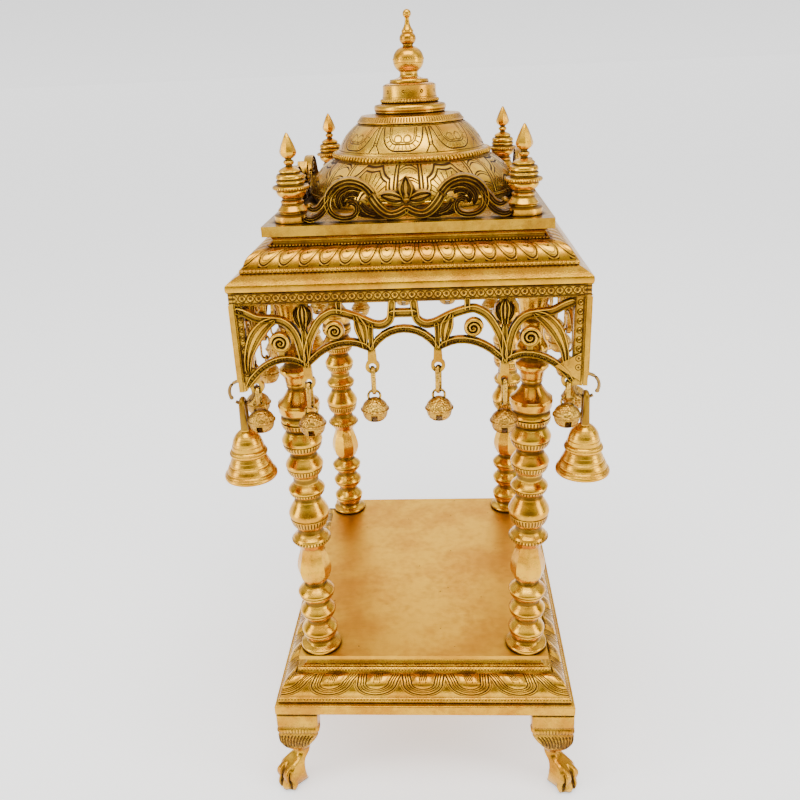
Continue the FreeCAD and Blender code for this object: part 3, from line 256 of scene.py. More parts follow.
def brass(name, lines=None, relief=None, age=0.35, rough=0.17, reach=5.0, cloud=22.0,
          bright=BRIGHT, warm=ORANGE, brushed=None, depth=0.25):
    """A brass whose skin grows with age and fills hollows narrower than the reach. Lengths are in mm."""
    finish = Finish(name)
    clouds = finish.noise(cloud, 4.0, 0.6)
    grain = finish.noise(1.1, 3.0, 0.65)
    wide = finish.noise(6.0, 3.0, 0.6)
    openness = finish.node("ShaderNodeAmbientOcclusion", {"samples": 6}, {"Distance": reach * MM}, "AO")
    hidden = (1.0 - openness).over(0.16 - age * 0.14, 0.66 - age * 0.22)
    skin = (hidden * (0.75 + wide * 0.5)).math("ADD", age * 0.16 * (wide.over(0.42, 0.70)), clamp=True)
    if lines is not None:
        drawn = lines(finish)
        skin = skin.highest(drawn * 0.92)
    metal = finish.mix(clouds.over(0.36, 0.68), bright, warm)
    metal = finish.mix((skin * 1.15).lowest(1.0), metal, BROWN)
    spread = rough + grain * 0.10 + wide.over(0.3, 0.8) * 0.08 + skin * 0.30
    height = grain * 0.5 + wide * 0.6
    if brushed:
        hair = finish.noise(0.5, 2.0, 0.6, stretch=brushed)
        height = height + hair * 0.6
        spread = spread + hair * 0.10
    if lines is not None:
        height = height - drawn * 3.0
    if relief is not None:
        height = height + relief(finish)
    bump = finish.node("ShaderNodeBump", {}, {"Height": height, "Strength": 0.6, "Distance": depth * MM})
    return finish.metal({"Base Color": metal, "Roughness": spread.lowest(0.8), "Metallic": 1.0 - skin * 0.35,
                         "Normal": bump, "IOR": 1.2})


def dress(names, material):
    for name in names:
        mesh = nodes[name].data
        mesh.materials.clear()
        mesh.materials.append(material)


print("the brass recipe is ready")

# %% [markdown]
# ## Finishes of the solids
# The dome is engraved: its lines are drawn from the angle round the dome and the height, so
# that they follow its curve and repeat eight times as the real ones do. The floor plate is
# brushed and slightly pitted, and the borders of the panels are punched with rings.

# %% Engraving of the dome's lower tier
LOWER_FOOT = low("dome_lower").z / MM
UPPER_FOOT = low("dome_upper").z / MM
NECK_FOOT = low("dome_neck").z / MM
DOME_BAY = 45.0


def around_dome(finish):
    """Angle round the dome from the front in degrees, and the radius and height in mm."""
    x, y, z = finish.place()
    return x.math("ARCTAN2", -y) * DEGREES, distance(x, y), z


def lower_tier_lines(finish):
    angle, radius, z = around_dome(finish)
    rise = z - LOWER_FOOT
    from_rib = angle.folded(DOME_BAY)
    body = rise.over(6.6, 7.6) * rise.under(29.6, 30.4)
    ribs = from_rib.near(6.0, 0.85).highest(from_rib.near(7.9, 0.7))
    across_arch = (DOME_BAY / 2 - from_rib) * radius * (1 / DEGREES)
    up = rise - 5.0
    lean = across_arch.math("ARCTAN2", up)
    reach = ((across_arch / 19.5) ** 2.0 + (up / 25.0) ** 2.0).math("SQRT")
    lobed = reach + abs((lean * 6.3).math("COSINE")) * 0.075
    fan = abs((lean * 15.0).math("SINE")).under(0.16, 0.42) * reach.over(0.50, 0.54) * reach.under(0.80, 0.84)
    ground = finish.cells(2.1, 0.75).under(0.20, 0.34) * lobed.over(1.10, 1.14) * from_rib.over(8.6, 9.2)
    field = lobed.near(1.02, 0.046).highest(
        lobed.near(0.90, 0.036), fan, reach.near(0.44, 0.042), reach.near(0.30, 0.045), ground)
    sagging = rise + from_rib * from_rib * 0.09
    hoops = sagging.folded(7.4).under(0.25, 0.62).highest((sagging + 1.7).folded(7.4).under(0.2, 0.5))
    marks = ribs.highest(field * from_rib.over(8.2, 8.8), hoops * from_rib.under(5.0, 5.4))
    return (marks * body).highest(rise.near(6.9, 0.42), rise.near(4.2, 0.35), rise.near(29.9, 0.35))


# %% Engraving of the dome's upper tier
def upper_tier_lines(finish):
    angle, radius, z = around_dome(finish)
    rise = z - UPPER_FOOT
    bay = ((angle + 4.6) / DOME_BAY + 0.5).math("FRACT") - 0.5
    side = bay * (DOME_BAY / DEGREES) * radius
    beside = abs(side)
    rest = (0.5 - abs(bay)) * (DOME_BAY / DEGREES) * radius
    round_part = 10.0
    deep = (beside - (14.2 - round_part)).highest(0.0)
    drop = (3.0 + round_part - rise).highest(0.0)
    edge = distance(deep, drop) - round_part
    heart = distance(beside - 3.4, rise - 11.0).near(2.6, 0.65)
    lean = side.math("ARCTAN2", 15.5 - rise)
    spokes = abs((lean * 12.0).math("SINE")).under(0.15, 0.42)
    fringe = spokes * edge.over(-4.2, -3.8) * edge.under(-1.5, -1.0)
    flare = rest.near(1.3, 0.70) * rise.over(6.4, 7.0)
    foot = (rest - 1.3 - (6.6 - rise) * 0.62).near(0.0, 0.75) * rise.under(6.6, 7.0)
    bars = rise.near(8.4, 0.4).highest(rise.near(6.9, 0.35)) * rest.under(1.6, 2.4)
    marks = edge.near(0.0, 0.75).highest(
        edge.near(-4.6, 0.60) * 0.9, edge.near(-6.0, 0.50) * 0.8, heart * 0.7,
        fringe * rise.under(13.5, 15.5) * 0.8, flare, foot, bars)
    marks = marks * rise.over(1.6, 2.0) * rise.under(18.6, 19.2)
    return marks.highest(rise.near(1.5, 0.35), rise.near(19.4, 0.4))


# %% Marks on the dome's neck
def neck_lines(finish):
    angle, radius, z = around_dome(finish)
    rise = z - NECK_FOOT
    hatch = (angle / 3.1).math("FRACT").near(0.5, 0.30) * rise.over(1.3, 1.5) * rise.under(4.6, 4.9)
    ticks = (angle / 6.0).math("FRACT").near(0.5, 0.24) * rise.over(13.3, 13.6) * rise.under(16.2, 16.6)
    hole_across = (((angle + 11.0) / 40.0 + 0.5).math("FRACT") * 40.0 - 20.0) * (20.8 / DEGREES)
    hole = distance(hole_across, rise - 21.5).near(0.95, 0.5)
    turned = rise.near(17.4, 0.3).highest(rise.near(26.0, 0.3), rise.near(12.2, 0.3))
    return (hatch * radius.over(38.2, 38.6) * 0.75).highest(ticks * 0.8, hole, turned * 0.7)


# %% Turned lines and pits
def turned_lines(pitch, width=0.22, strength=0.45):
    def lines(finish):
        wobble = finish.noise(9.0, 1.0)
        return (finish.place()[2] + wobble * 1.5).folded(pitch).under(width * 0.4, width) * strength
    return lines


def plate_marks(finish):
    return finish.cells(17.0, 1.0).under(0.022, 0.045) * 0.8


# %% Marks on the panels' borders
RING_PITCH, RING_LEVEL, RING_INSET = 5.6, 4.8, 6.0
STUD_PITCH, STUD_LEVEL, STUD_INSET = 6.4, 13.0, 3.4


def ring_pitch(half):
    """The pitch that fits a whole number of rings between the corners."""
    return 2 * (half - RING_INSET) / int(2 * (half - RING_INSET) / RING_PITCH)


def border_marks(axis, half):
    """Dark hollows and outlines of a border that runs along this axis."""
    def lines(finish):
        place = finish.place()
        along, down = abs(place[axis]), EAVE - place[2]
        ring = distance((along - (half - RING_INSET)).folded(ring_pitch(half)), down - RING_LEVEL)
        rings = ring.under(0.8, 1.2).highest(ring.near(2.5, 0.5)) * down.under(8.0, 8.4)
        stud = distance(along - (half - STUD_INSET), (down - STUD_LEVEL).folded(STUD_PITCH))
        studs = stud.under(0.6, 1.0).highest(stud.near(2.0, 0.45))
        studs = studs * down.over(10.4, 10.8) * down.under(60.4, 60.8)
        edges = down.near(1.7, 0.4).highest(down.near(7.8, 0.4), along.near(half - 1.6, 0.35))
        return rings.highest(studs, edges) * 0.85
    return lines


# %% Give each solid its finish
dress(["finial", "turrets"], brass("turned_brass", lines=turned_lines(4.1), age=0.50, rough=0.17, reach=4.0))
dress(["pillar_" + place for place in PLACES] + ["leg_" + place for place in PLACES],
      brass("polished_brass", lines=turned_lines(5.3), age=0.42, rough=0.15))
# The dome tiers get the lighter dome gold and a low age, so they carry little brown skin. This is painted
# light on the top of the shrine.
for tier, lines, age in (("lower", lower_tier_lines, 0.14), ("upper", upper_tier_lines, 0.16)):
    dress(["dome_" + tier],
          brass("engraved_%s_tier" % tier, lines=lines, age=age, rough=0.16, bright=DOME_PAINTED_LIGHT))
dress(["dome_neck"], brass("marked_neck", lines=neck_lines, age=0.35, rough=0.18))
dress(["cornice", "plinth"], brass("moulded_brass", age=0.62, rough=0.17,
                                   bright=(0.70, 0.365, 0.016, 1), warm=(0.50, 0.21, 0.007, 1)))
dress(["roof_slab", "ceiling_plate"], brass("rolled_brass", age=0.85, rough=0.17, cloud=16.0,
                                            bright=(0.56, 0.30, 0.016, 1), warm=(0.36, 0.155, 0.007, 1)))
dress(["floor_plate"], brass("brushed_plate", lines=plate_marks, age=0.2, rough=0.24, cloud=48.0,
                             brushed=(0.02, 1.0, 1.0), reach=9.0))
for name, axis, half, sides in (("front", 0, FRONT_HALF, ("front", "back")),
                                ("side", 1, SIDE_HALF, ("left", "right"))):
    dress(["valance_" + side for side in sides],
          brass(name + "_border_brass", lines=border_marks(axis, half), age=0.95, rough=0.20, reach=4.0,
                bright=(0.62, 0.33, 0.020, 1), warm=(0.42, 0.185, 0.009, 1)))
dress(["roof_crests", "corner_rings"] + [name for name in nodes if name.startswith(("jingle_", "bell_"))],
      brass("antique_brass", age=1.1, rough=0.24, reach=4.0,
            bright=(0.50, 0.27, 0.020, 1), warm=(0.33, 0.145, 0.009, 1)))
print("dressed", sum(1 for node in nodes.values() if node.data.materials), "solids")

# %% [markdown]
# ## Meshes from points
# A worked piece starts as a shape: a list of points in millimetres and a list of faces.
# Shapes are copied, turned and joined as lists, and become a mesh only at the end, because
# a thousand small objects would be slow to handle.

# %% Shapes
FACING = {"front": 0.0, "back": math.pi, "right": math.pi / 2, "left": -math.pi / 2}


def turned(x, y, heading):
    """A point turned about Z."""
    c = math.cos(heading)
    s = math.sin(heading)
    return x * c - y * s, x * s + y * c


def copied(shape, place=(0, 0, 0), size=(1, 1, 1), heading=0.0):
    """A shape scaled along X, Y and Z, turned about Z and moved."""
    points = []
    for px, py, pz in shape[0]:
        x, y = turned(px * size[0], py * size[1], heading)
        points.append((place[0] + x, place[1] + y, place[2] + pz * size[2]))
    return points, shape[1]


def joined(shapes):
    points = []
    faces = []
    for more_points, more_faces in shapes:
        start = len(points)
        points += more_points
        faces += [tuple(start + number for number in face) for face in more_faces]
    return points, faces


def shape_of(thing, unit=1.0):
    """The shape of a helper object, which is then removed."""
    points = [tuple(value / unit for value in vertex.co) for vertex in thing.data.vertices]
    shape = (points, [tuple(face.vertices) for face in thing.data.polygons])
    bpy.data.objects.remove(thing)
    return shape


def sleeve(count, size, closed=False):
    """Faces between the rings of a tube. A tube that isn't closed gets a cap at each end."""
    faces = []
    for number in range(count if closed else count - 1):
        here = number * size
        there = (number + 1) % count * size
        for step in range(size):
            nearby = (step + 1) % size
            faces.append((here + step, here + nearby, there + nearby, there + step))
    if not closed:
        faces.append(tuple(range(size))[::-1])
        faces.append(tuple(range((count - 1) * size, count * size)))
    return faces


# %% Objects
def pick(thing):
    """Make this the only selected object and the active one."""
    bpy.ops.object.select_all(action="DESELECT")
    thing.select_set(True)
    bpy.context.view_layer.objects.active = thing


def face_outward(thing, merge=None):
    pick(thing)
    bpy.ops.object.mode_set(mode="EDIT")
    bpy.ops.mesh.select_all(action="SELECT")
    if merge is not None:
        bpy.ops.mesh.remove_doubles(threshold=merge)
    bpy.ops.mesh.normals_make_consistent(inside=False)
    bpy.ops.object.mode_set(mode="OBJECT")


def modify(thing, kind, **settings):
    """Add a modifier and apply it."""
    pick(thing)
    added = thing.modifiers.new(kind.lower(), kind)
    for key, value in settings.items():
        setattr(added, key, value)
    bpy.ops.object.modifier_apply(modifier=added.name)


def solid_from(name, shape):
    mesh = bpy.data.meshes.new(name)
    mesh.from_pydata([(x * MM, y * MM, z * MM) for x, y, z in shape[0]], [], shape[1])
    solid = bpy.data.objects.new(name, mesh)
    bpy.context.scene.collection.objects.link(solid)
    return solid


def piece_from(name, shape, material, body="shrine_frame", smooth_angle=None, solve=False, replaced=None):
    """A smooth piece that rides on a body. To solve it is to let Blender turn its faces outward."""
    piece = solid_from(name, shape)
    piece.data.validate()
    for face in piece.data.polygons:
        face.use_smooth = True
    piece.data.materials.append(material)
    if solve:
        face_outward(piece)
    if smooth_angle is not None:
        pick(piece)
        bpy.ops.object.shade_smooth_by_angle(angle=math.radians(smooth_angle))
    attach(piece, body)
    if replaced is not None:
        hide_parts(replaced)
    return piece


print("ready to make meshes")

# %% [markdown]
# ## Beads
# Rows of small beads run round both mouldings and round the dome. A real one is struck
# with a punch, so every bead is alike. One bead of a few faces is made, and each row is a
# single mesh of its copies.

# %% One bead and a way to repeat it
bpy.ops.object.select_all(action="DESELECT")
bpy.ops.mesh.primitive_uv_sphere_add(segments=8, ring_count=4, radius=1.0)
BEAD = shape_of(bpy.context.object)


def round_rectangle(half_x, half_y, z, pitch):
    """Places along the four sides of a rectangle, with the way each faces."""
    places = []
    for side in range(4):
        half, away = ((half_x, half_y), (half_y, half_x))[side % 2]
        count = int(round(2 * half / pitch))
        for number in range(count):
            x, y = turned(-half + (number + 0.5) * 2 * half / count, -away, side * math.pi / 2)
            places.append(((x, y, z), side * math.pi / 2))
    return places


def round_circle(radius, z, pitch):
    count = int(round(2 * math.pi * radius / pitch))
    headings = [2 * math.pi * number / count for number in range(count)]
    return [((*turned(0.0, -radius, heading), z), heading) for heading in headings]


# %% The bead rows
PLINTH = low("plinth").z / MM
bead_brass = brass("bead_brass", age=1.0, rough=0.18, reach=2.2)
bead_rows = {
    "plinth_lower_beads": (round_rectangle(118.3, 118.3 + EXTRA, PLINTH + 12.7, 2.6), (1.12, 1.6, 1.95)),
    "plinth_upper_beads": (round_rectangle(102.9, 102.9 + EXTRA, PLINTH + 31.0, 2.6), (1.1, 1.5, 1.4)),
    "cornice_lower_beads": (round_rectangle(110.9, 110.9 + EXTRA, EAVE + 11.5, 2.7), (1.15, 1.6, 1.6)),
    "cornice_upper_beads": (round_rectangle(93.6, 93.6 + EXTRA, EAVE + 24.6, 2.2), (0.9, 1.2, 1.0)),
    "dome_ring_beads": (round_circle(60.4, LOWER_FOOT + 32.9, 3.1), (1.3, 1.6, 2.1)),
    "neck_ring_beads": (round_circle(21.5, NECK_FOOT + 14.8, 2.4), (0.95, 1.2, 1.4)),
    "finial_ring_beads": (round_circle(11.3, low("finial").z / MM + 12.4, 1.8), (0.7, 0.6, 0.9)),
}
for name, (places, size) in bead_rows.items():
    piece_from(name, joined(copied(BEAD, place, size, heading) for place, heading in places), bead_brass)
print("struck", sum(len(places) for places, size in bead_rows.values()), "beads")

# %% [markdown]
# ## Lotus bands
# Between the bead rows each moulding carries a band of lotus petals. A petal is a boss
# with nested rims, and the corner ones are folded over the mitre. Each side starts as a
# flat grid, which is bent along the band's curve and raised petal by petal. The fine rims
# are drawn by the finish, from a map that counts petals along and runs up the band.

# %% A band of petals round a moulding
SHELL = 1.2


def petal_height(reach, boss, bulge):
    """How far a petal stands out at this reach from its middle: a boss and a sloping rim."""
    if reach < boss:
        return bulge * math.sqrt(max(1 - (reach / boss) ** 2.4, 0.0))
    if reach < 1.0:
        return 0.28 * bulge * (1.0 - reach) / (1.0 - boss)
    return 0.0


def lotus_band(name, material, foot, bottom, top, rise, bow, counts, cells,
               boss, middle, squeeze, bulge, rest):
    long = math.hypot(top - bottom, rise)
    out = rise / long
    lift = (bottom - top) / long
    sides = []
    maps = []
    for side in range(4):
        deeper, longer = ((EXTRA, 0.0), (0.0, EXTRA))[side % 2]
        count = counts[side % 2]
        bpy.ops.object.select_all(action="DESELECT")
        bpy.ops.mesh.primitive_grid_add(x_subdivisions=count * cells[0], y_subdivisions=cells[1], size=2.0)
        grid_points, faces = shape_of(bpy.context.object)
        points = []
        for u, grid_y, _ in grid_points:
            v = (grid_y + 1) / 2
            petal = u * count / 2
            across = (petal - math.floor(petal + 0.5)) * 2
            reach = math.hypot(across, max(middle - v, 0.0) * squeeze)
            edge = min(v / 0.08, (1 - v) / 0.08, 1.0)
            swell = 4 * bow * v * (1 - v) + (rest + petal_height(reach, boss, bulge)) * edge
            half = bottom + (top - bottom) * v + out * swell
            x, y = turned(u * (half + longer), -(half + deeper), side * math.pi / 2)
            points.append((x, y, foot + rise * v + lift * swell))
            maps.append((petal, v))
        sides.append((points, faces))
    band = piece_from(name, joined(sides), material)
    layer = band.data.uv_layers.new(name="petal_map")
    for loop in band.data.loops:
        layer.data[loop.index].uv = maps[loop.vertex_index]
    face_outward(band, merge=0.02 * MM)
    modify(band, "SOLIDIFY", thickness=SHELL * MM, offset=-1)
    print(name, len(band.data.polygons), "faces")


def petal_field(finish, middle, squeeze):
    petal, up = finish.parts(finish.node("ShaderNodeUVMap", {"uv_map": "petal_map"}))[:2]
    across = ((petal + 0.5).math("FRACT") - 0.5) * 2.0
    return across, up, distance(across, (middle - up).highest(0.0) * squeeze)


def plinth_petal_lines(finish):
    across, up, reach = petal_field(finish, 0.62, 1.62)
    flare = (up - 0.62).highest(0.0) * 0.36
    bent = reach - flare * (reach - 0.3).over(0.0, 0.2)
    rims = bent.near(0.50, 0.046).highest(
        bent.near(0.61, 0.040), bent.near(0.72, 0.040), bent.near(0.86, 0.052), bent.near(0.97, 0.04) * 0.8)
    leaning = across + (up - 0.8) * 0.28
    strokes = leaning.folded(0.085).under(0.014, 0.034) * abs(across).under(0.17, 0.20) * up.over(0.66, 0.70)
    aside, above = abs(across) - 0.13, up - 0.60
    dots = (aside * aside * 3.0 + above * above).math("SQRT").under(0.03, 0.06)
    return (rims * up.under(0.95, 0.99)).highest(strokes * up.under(0.96, 0.98), dots * 0.7)


def cornice_petal_lines(finish):
    across, up, reach = petal_field(finish, 0.60, 1.50)
    gap = reach.near(0.98, 0.10) * up.under(0.60, 0.80)
    eye = reach.near(0.20, 0.06) * up.under(0.56, 0.60) * abs(across).under(0.24, 0.30)
    leaning = (across + (up - 0.8) * 0.5).folded(0.30).under(0.03, 0.09)
    strokes = leaning * up.over(0.76, 0.80) * up.under(0.96, 0.98)
    rims = (reach.near(0.80, 0.07) * 0.95).highest(reach.near(0.60, 0.05) * 0.45)
    return rims.highest(gap, eye * 0.9, strokes * 0.35)


plinth_lotus = brass("plinth_lotus_brass", lines=plinth_petal_lines, age=0.70, rough=0.16, reach=3.6)
lotus_band("plinth_lotus_band", plinth_lotus,
           foot=PLINTH + 15.2, bottom=117.1, top=104.6, rise=14.0, bow=3.0, counts=(6, 8), cells=(24, 18),
           boss=0.50, middle=0.62, squeeze=1.62, bulge=1.9, rest=0.35)
cornice_lotus = brass("cornice_lotus_brass", lines=cornice_petal_lines, age=0.42, rough=0.16, reach=3.0)
lotus_band("cornice_lotus_band", cornice_lotus,
           foot=EAVE + 13.6, bottom=109.6, top=94.5, rise=10.1, bow=3.2, counts=(16, 20), cells=(14, 14),
           boss=0.80, middle=0.60, squeeze=1.50, bulge=0.85, rest=0.1)

# %% [markdown]
# ## Scrollwork
# The pierced panels and the crests are cast scrolls: strips with raised edges and a sunken
# or ridged middle that curl into volutes. The solids behind them have the same outlines
# cut from plate. A strip is easiest to make by running one cross section along a smooth
# line, in code, because every point of the line has its own width.

# %% Smooth lines and strips
def smooth(points, steps=4):
    answer = []
    last = len(points) - 1
    for number in range(last):
        before = points[max(number - 1, 0)]
        here = points[number]
        there = points[number + 1]
        after = points[min(number + 2, last)]
        for step in range(steps):
            t = step / steps
            spot = []
            for a, b, c, d in zip(before, here, there, after):
                lead = (c - a) * t
                swell = (2 * a - 5 * b + 4 * c - d) * t * t
                close = (3 * b - a - 3 * c + d) * t * t * t
                spot.append((2 * b + lead + swell + close) / 2)
            answer.append(tuple(spot))
    answer.append(tuple(points[-1]))
    return answer


RIDGED = [(-1.0, 0.0), (-0.96, 0.74), (-0.78, 1.0), (-0.56, 0.94), (-0.40, 0.50), (0.0, 0.42),
          (0.40, 0.50), (0.56, 0.94),
          (0.78, 1.0), (0.96, 0.74)]
TRIPLE = [(-1.0, 0.0), (-0.96, 0.74), (-0.82, 1.0), (-0.66, 0.94), (-0.54, 0.44), (-0.32, 0.40),
          (-0.18, 0.80), (0.0, 0.88),
          (0.18, 0.80), (0.32, 0.40), (0.54, 0.44), (0.66, 0.94), (0.82, 1.0), (0.96, 0.74)]
ROUNDED = [(-1.0, 0.0), (-0.84, 0.66), (-0.45, 0.94), (0.0, 1.0), (0.45, 0.94), (0.84, 0.66)]


def strip(run, half_thick, section, steps=4):
    """A strip along a smooth line of (x, z, width). Its section is given as shares of (width, thickness)."""
    line = smooth(run, steps)
    ring = section + [(-a, -b) for a, b in section]
    points = []
    last = len(line) - 1
    for number, (x, z, width) in enumerate(line):
        a = line[max(number - 1, 0)]
        b = line[min(number + 1, last)]
        long = math.hypot(b[0] - a[0], b[1] - a[1]) or 1.0
        side = (-(b[1] - a[1]) / long, (b[0] - a[0]) / long)
        end = 0.55 if number in (0, last) else 1.0
        for across_share, out_share in ring:
            reach = across_share * width / 2 * end
            out = out_share * half_thick * (0.8 + 0.2 * end)
            points.append((x + side[0] * reach, out, z + side[1] * reach))
    return points, sleeve(len(line), len(ring))


def volute(x, z, radius, width, side, turns=2.1):
    """A line that curls inwards from the rim of a disc to its middle."""
    run = []
    count = int(turns * 8)
    for number in range(count + 1):
        share = number / count
        angle = share * turns * 2 * math.pi
        reach = (radius - width / 2) * (1 - share) + 0.9 * share
        thinned = width * (1 - 0.45 * share)
        run.append((x + side * reach * math.cos(angle), z + reach * math.sin(angle), thinned))
    return run


class Casting:
    """Strips and buttons that are gathered into one mesh, standing in a plane that faces -Y."""

    def __init__(self, half_thick):
        self.half_thick = half_thick
        self.shapes = []

    def strip(self, run, section, extra=0.0, steps=4):
        self.shapes.append(strip(run, self.half_thick + extra, section, steps))

    def wire(self, start, end, width=1.1, extra=-0.15):
        self.strip([(*start, width), (*end, width)], ROUNDED, extra, 1)

    def button(self, x, z, radius, extra=0.6):
        reach = self.half_thick + extra
        self.shapes.append(copied(BEAD, (x, 0, z), (radius, reach, radius)))

    def stand(self, name, away, z, heading, material):
        """Put a copy this far from the shrine's middle, facing away from it."""
        place = (*turned(0, -away, heading), z)
        made = piece_from(name, copied(joined(self.shapes), place, heading=heading), material,
                          smooth_angle=50, solve=True)
        print(name, len(made.data.polygons), "faces")


# %% [markdown]
# ## The pierced panels
# Each panel has a border, a band of scallops, vines that rise from the cusps, volutes in
# the arches and a bud over the outer cusps. The lines below are drawn for one half, as
# distance from the pattern's middle, depth below the eave, and width.

# %% Lines of the panels
VINE = 5.6
FRONT_LINES = [
    [(112, 12.4, VINE), (106, 14.5, VINE), (98, 18.5, VINE), (88, 19.5, VINE), (80, 21.5, VINE),
     (74, 28, VINE), (71, 37, VINE), (69, 50, VINE)],
    [(86, 19.0, 4), (93.5, 23.6, 9.4), (101, 32.4, 10.4), (106.4, 45, 6.6), (108, 57, 4)],
    [(67, 54, 4.4), (67, 40, 4.2), (67, 27, 4.0)],
    [(67.5, 50, VINE), (64, 35, VINE), (57, 22, VINE), (50, 16.5, VINE), (44, 15.5, VINE), (32, 19, VINE),
     (21, 24.3, VINE), (14, 25, VINE), (9, 21.5, VINE), (7.8, 15.5, VINE), (7, 8, VINE)],
    [(42.4, 16, 5), (42.4, 12, 4), (42.4, 8, 5)],
    [(32, 17, 2.4), (30.4, 21, 6.4), (28.6, 26.4, 9.6), (27.4, 32, 8.0), (26.8, 37, 4.4), (26.4, 41, 3)],
    [(21.8, 24, 4), (22.2, 32, 3.4), (22.3, 42, 4.4)],
]
FRONT_BUDS = [[(67, 27, 3.5), (67, 20, 6.4), (67, 14, 7.0), (67, 9.6, 2.0)],
              [(66, 25, 2.5), (62.6, 20, 3.4), (61.8, 14.5, 2.8), (63.4, 11.5, 1.2)],
              [(68, 25, 2.5), (71.4, 20, 3.4), (72.2, 14.5, 2.8), (70.6, 11.5, 1.2)]]
FRONT_VOLUTES = [(83.8, 36.0, 8.3, 4.6), (46.2, 28.5, 7.6, 4.3)]
SIDE_LINES = [
    [(142, 12.4, VINE), (136, 17.5, VINE), (126, 19.5, VINE), (117.6, 21.5, VINE), (111.6, 28, VINE),
     (108.6, 37, VINE), (106.6, 50, VINE)],
    [(122, 19.0, 4), (129, 24.0, 8.8), (134.4, 32.4, 9.2), (138.0, 44, 6.2), (139, 54, 4)],
    [(104.6, 54, 4.4), (104.6, 40, 4.2), (104.6, 27, 4.0)],
    [(104.6, 50, VINE), (101.4, 36, VINE), (94.5, 23, VINE), (84, 15.8, VINE), (73, 19.5, VINE),
     (66, 25.5, VINE), (62.6, 31, VINE)],
    [(83.6, 16, 5), (83.6, 12, 4), (83.6, 8, 5)],
    [(62.1, 46, 4.4), (62.1, 34, 4.2), (62.1, 25, 4.0)],
    [(62, 42, VINE), (59.5, 30, VINE), (53, 20.5, VINE), (46, 15.8, VINE), (38, 15.2, VINE), (29, 18.5, VINE),
     (20.5, 22.3, VINE), (13.5, 23, VINE), (9, 20.5, VINE), (7.8, 15.5, VINE), (7, 8, VINE)],
    [(40.4, 16, 5), (40.4, 12, 4), (40.4, 8, 5)],
    [(20.7, 22, 4), (20.7, 30, 3.4), (20.7, 39, 4.4)],
]
SIDE_BUDS = [[(x + side * (at - 67), down, width) for at, down, width in bud]
             for x, side in ((104.6, 1), (62.1, 1)) for bud in FRONT_BUDS]
SIDE_VOLUTES = [(120.6, 34.5, 7.9, 4.4), (82.6, 26.8, 6.9, 4.0), (42.2, 23.6, 5.9, 3.4)]
FRONT_SPOTS = [(-113.6, 70.4), (-70.5, 55.6), (-25.8, 45.2), (18.8, 45.2), (63.5, 55.6), (109.0, 70.4)]
FRONT_TOPS = [51.6, 40.0, 30.8, 40.0, 51.6]
SIDE_SPOTS = [(-140.7, 70.4), (-104.6, 55.6), (-62.1, 47.2), (-20.7, 41.2),
              (20.7, 41.2), (62.1, 47.2), (104.6, 55.6), (140.7, 70.4)]
SIDE_TOPS = [50.8, 41.4, 33.6, 27.6, 33.6, 41.4, 50.8]


def arch(p, q, top, count=10):
    """Points of an arc from p to q that rises to the given depth below the eave."""
    chord = math.hypot(q[0] - p[0], q[1] - p[1])
    bow = (p[1] + q[1]) / 2 - top
    radius = chord * chord / (8 * bow) + bow / 2
    answer = []
    for step in range(count + 1):
        t = step / count
        offset = abs(t - 0.5) * chord
        rise = math.sqrt(max(radius * radius - offset * offset, 0)) - (radius - bow)
        answer.append((p[0] + (q[0] - p[0]) * t, p[1] + (q[1] - p[1]) * t - rise))
    return answer


PANEL_HALF_THICK = 2.9
FRONT_SHIFT = -3.5
SCALLOP_LIFT = 2.6
BORDER_WIRES = (0.9, 8.6)
BORDER_FOOT = 64.0


def scallop(casting, run, half):
    """A strip along an arch, with short ticks across it."""
    kept = [(x, -down + SCALLOP_LIFT, 5.2) for x, down in run if abs(x) < half - 1.5]
    casting.strip(kept, RIDGED, 0.0, 1)
    for here, there in zip(run[:-1], run[1:]):
        long = math.hypot(there[0] - here[0], there[1] - here[1])
        lean = ((there[0] - here[0]) / long * 1.7, -(there[1] - here[1]) / long * 1.7)
        for t in (0.25, 0.75):
            x = here[0] + (there[0] - here[0]) * t
            z = -(here[1] + (there[1] - here[1]) * t) + SCALLOP_LIFT
            if abs(x) < half - 2.5:
                casting.wire((x + lean[1], z - lean[0]), (x - lean[1], z + lean[0]), 1.5, -0.35)


def panel_casting(half, shift, lines, buds, volutes, spots, tops, ends):
    """One panel. The shift moves its pattern, and the ends are the widths of its upright borders."""
    casting = Casting(PANEL_HALF_THICK)
    for side in (-1, 1):
        for runs, extra in ((lines, 0.0), (buds, 0.5)):
            for run in runs:
                broad = extra > 0 or max(width for x, down, width in run) > 6.0
                spread = [(shift + side * x, -down, width) for x, down, width in run]
                casting.strip(spread, TRIPLE if broad else RIDGED, extra)
        for x, down, radius, width in volutes:
            casting.strip(volute(shift + side * x, -down, radius, width * 0.66, side), ROUNDED, 0.6, 3)
            casting.button(shift + side * x, -down, 1.9, 1.1)
    casting.strip([(shift + x, -17.2, VINE) for x in (-9, 0, 9)], RIDGED)
    for number, top in enumerate(tops):
        scallop(casting, arch(spots[number], spots[number + 1], top), half)
    for down in BORDER_WIRES:
        casting.wire((-half + 0.6, -down), (half - 0.6, -down))
    for x in (-half + 0.8, half - 0.8, -half + ends[0] - 0.6, half - ends[1] + 0.6):
        casting.wire((x, -9.4), (x, -BORDER_FOOT))
    return casting


# %% Punched rings on the borders
def punched_ring(casting, x, z, radius=1.7, wire=0.55):
    """A small raised ring on both faces of the panel."""
    for face in (-1, 1):
        points = []
        for number in range(10):
            angle = number * 2 * math.pi / 10
            for reach, out in ((radius - wire, 1.45), (radius, 1.95), (radius + wire, 1.45)):
                points.append((x + reach * math.cos(angle), face * out, z + reach * math.sin(angle)))
        casting.shapes.append((points, sleeve(10, 3, closed=True)))


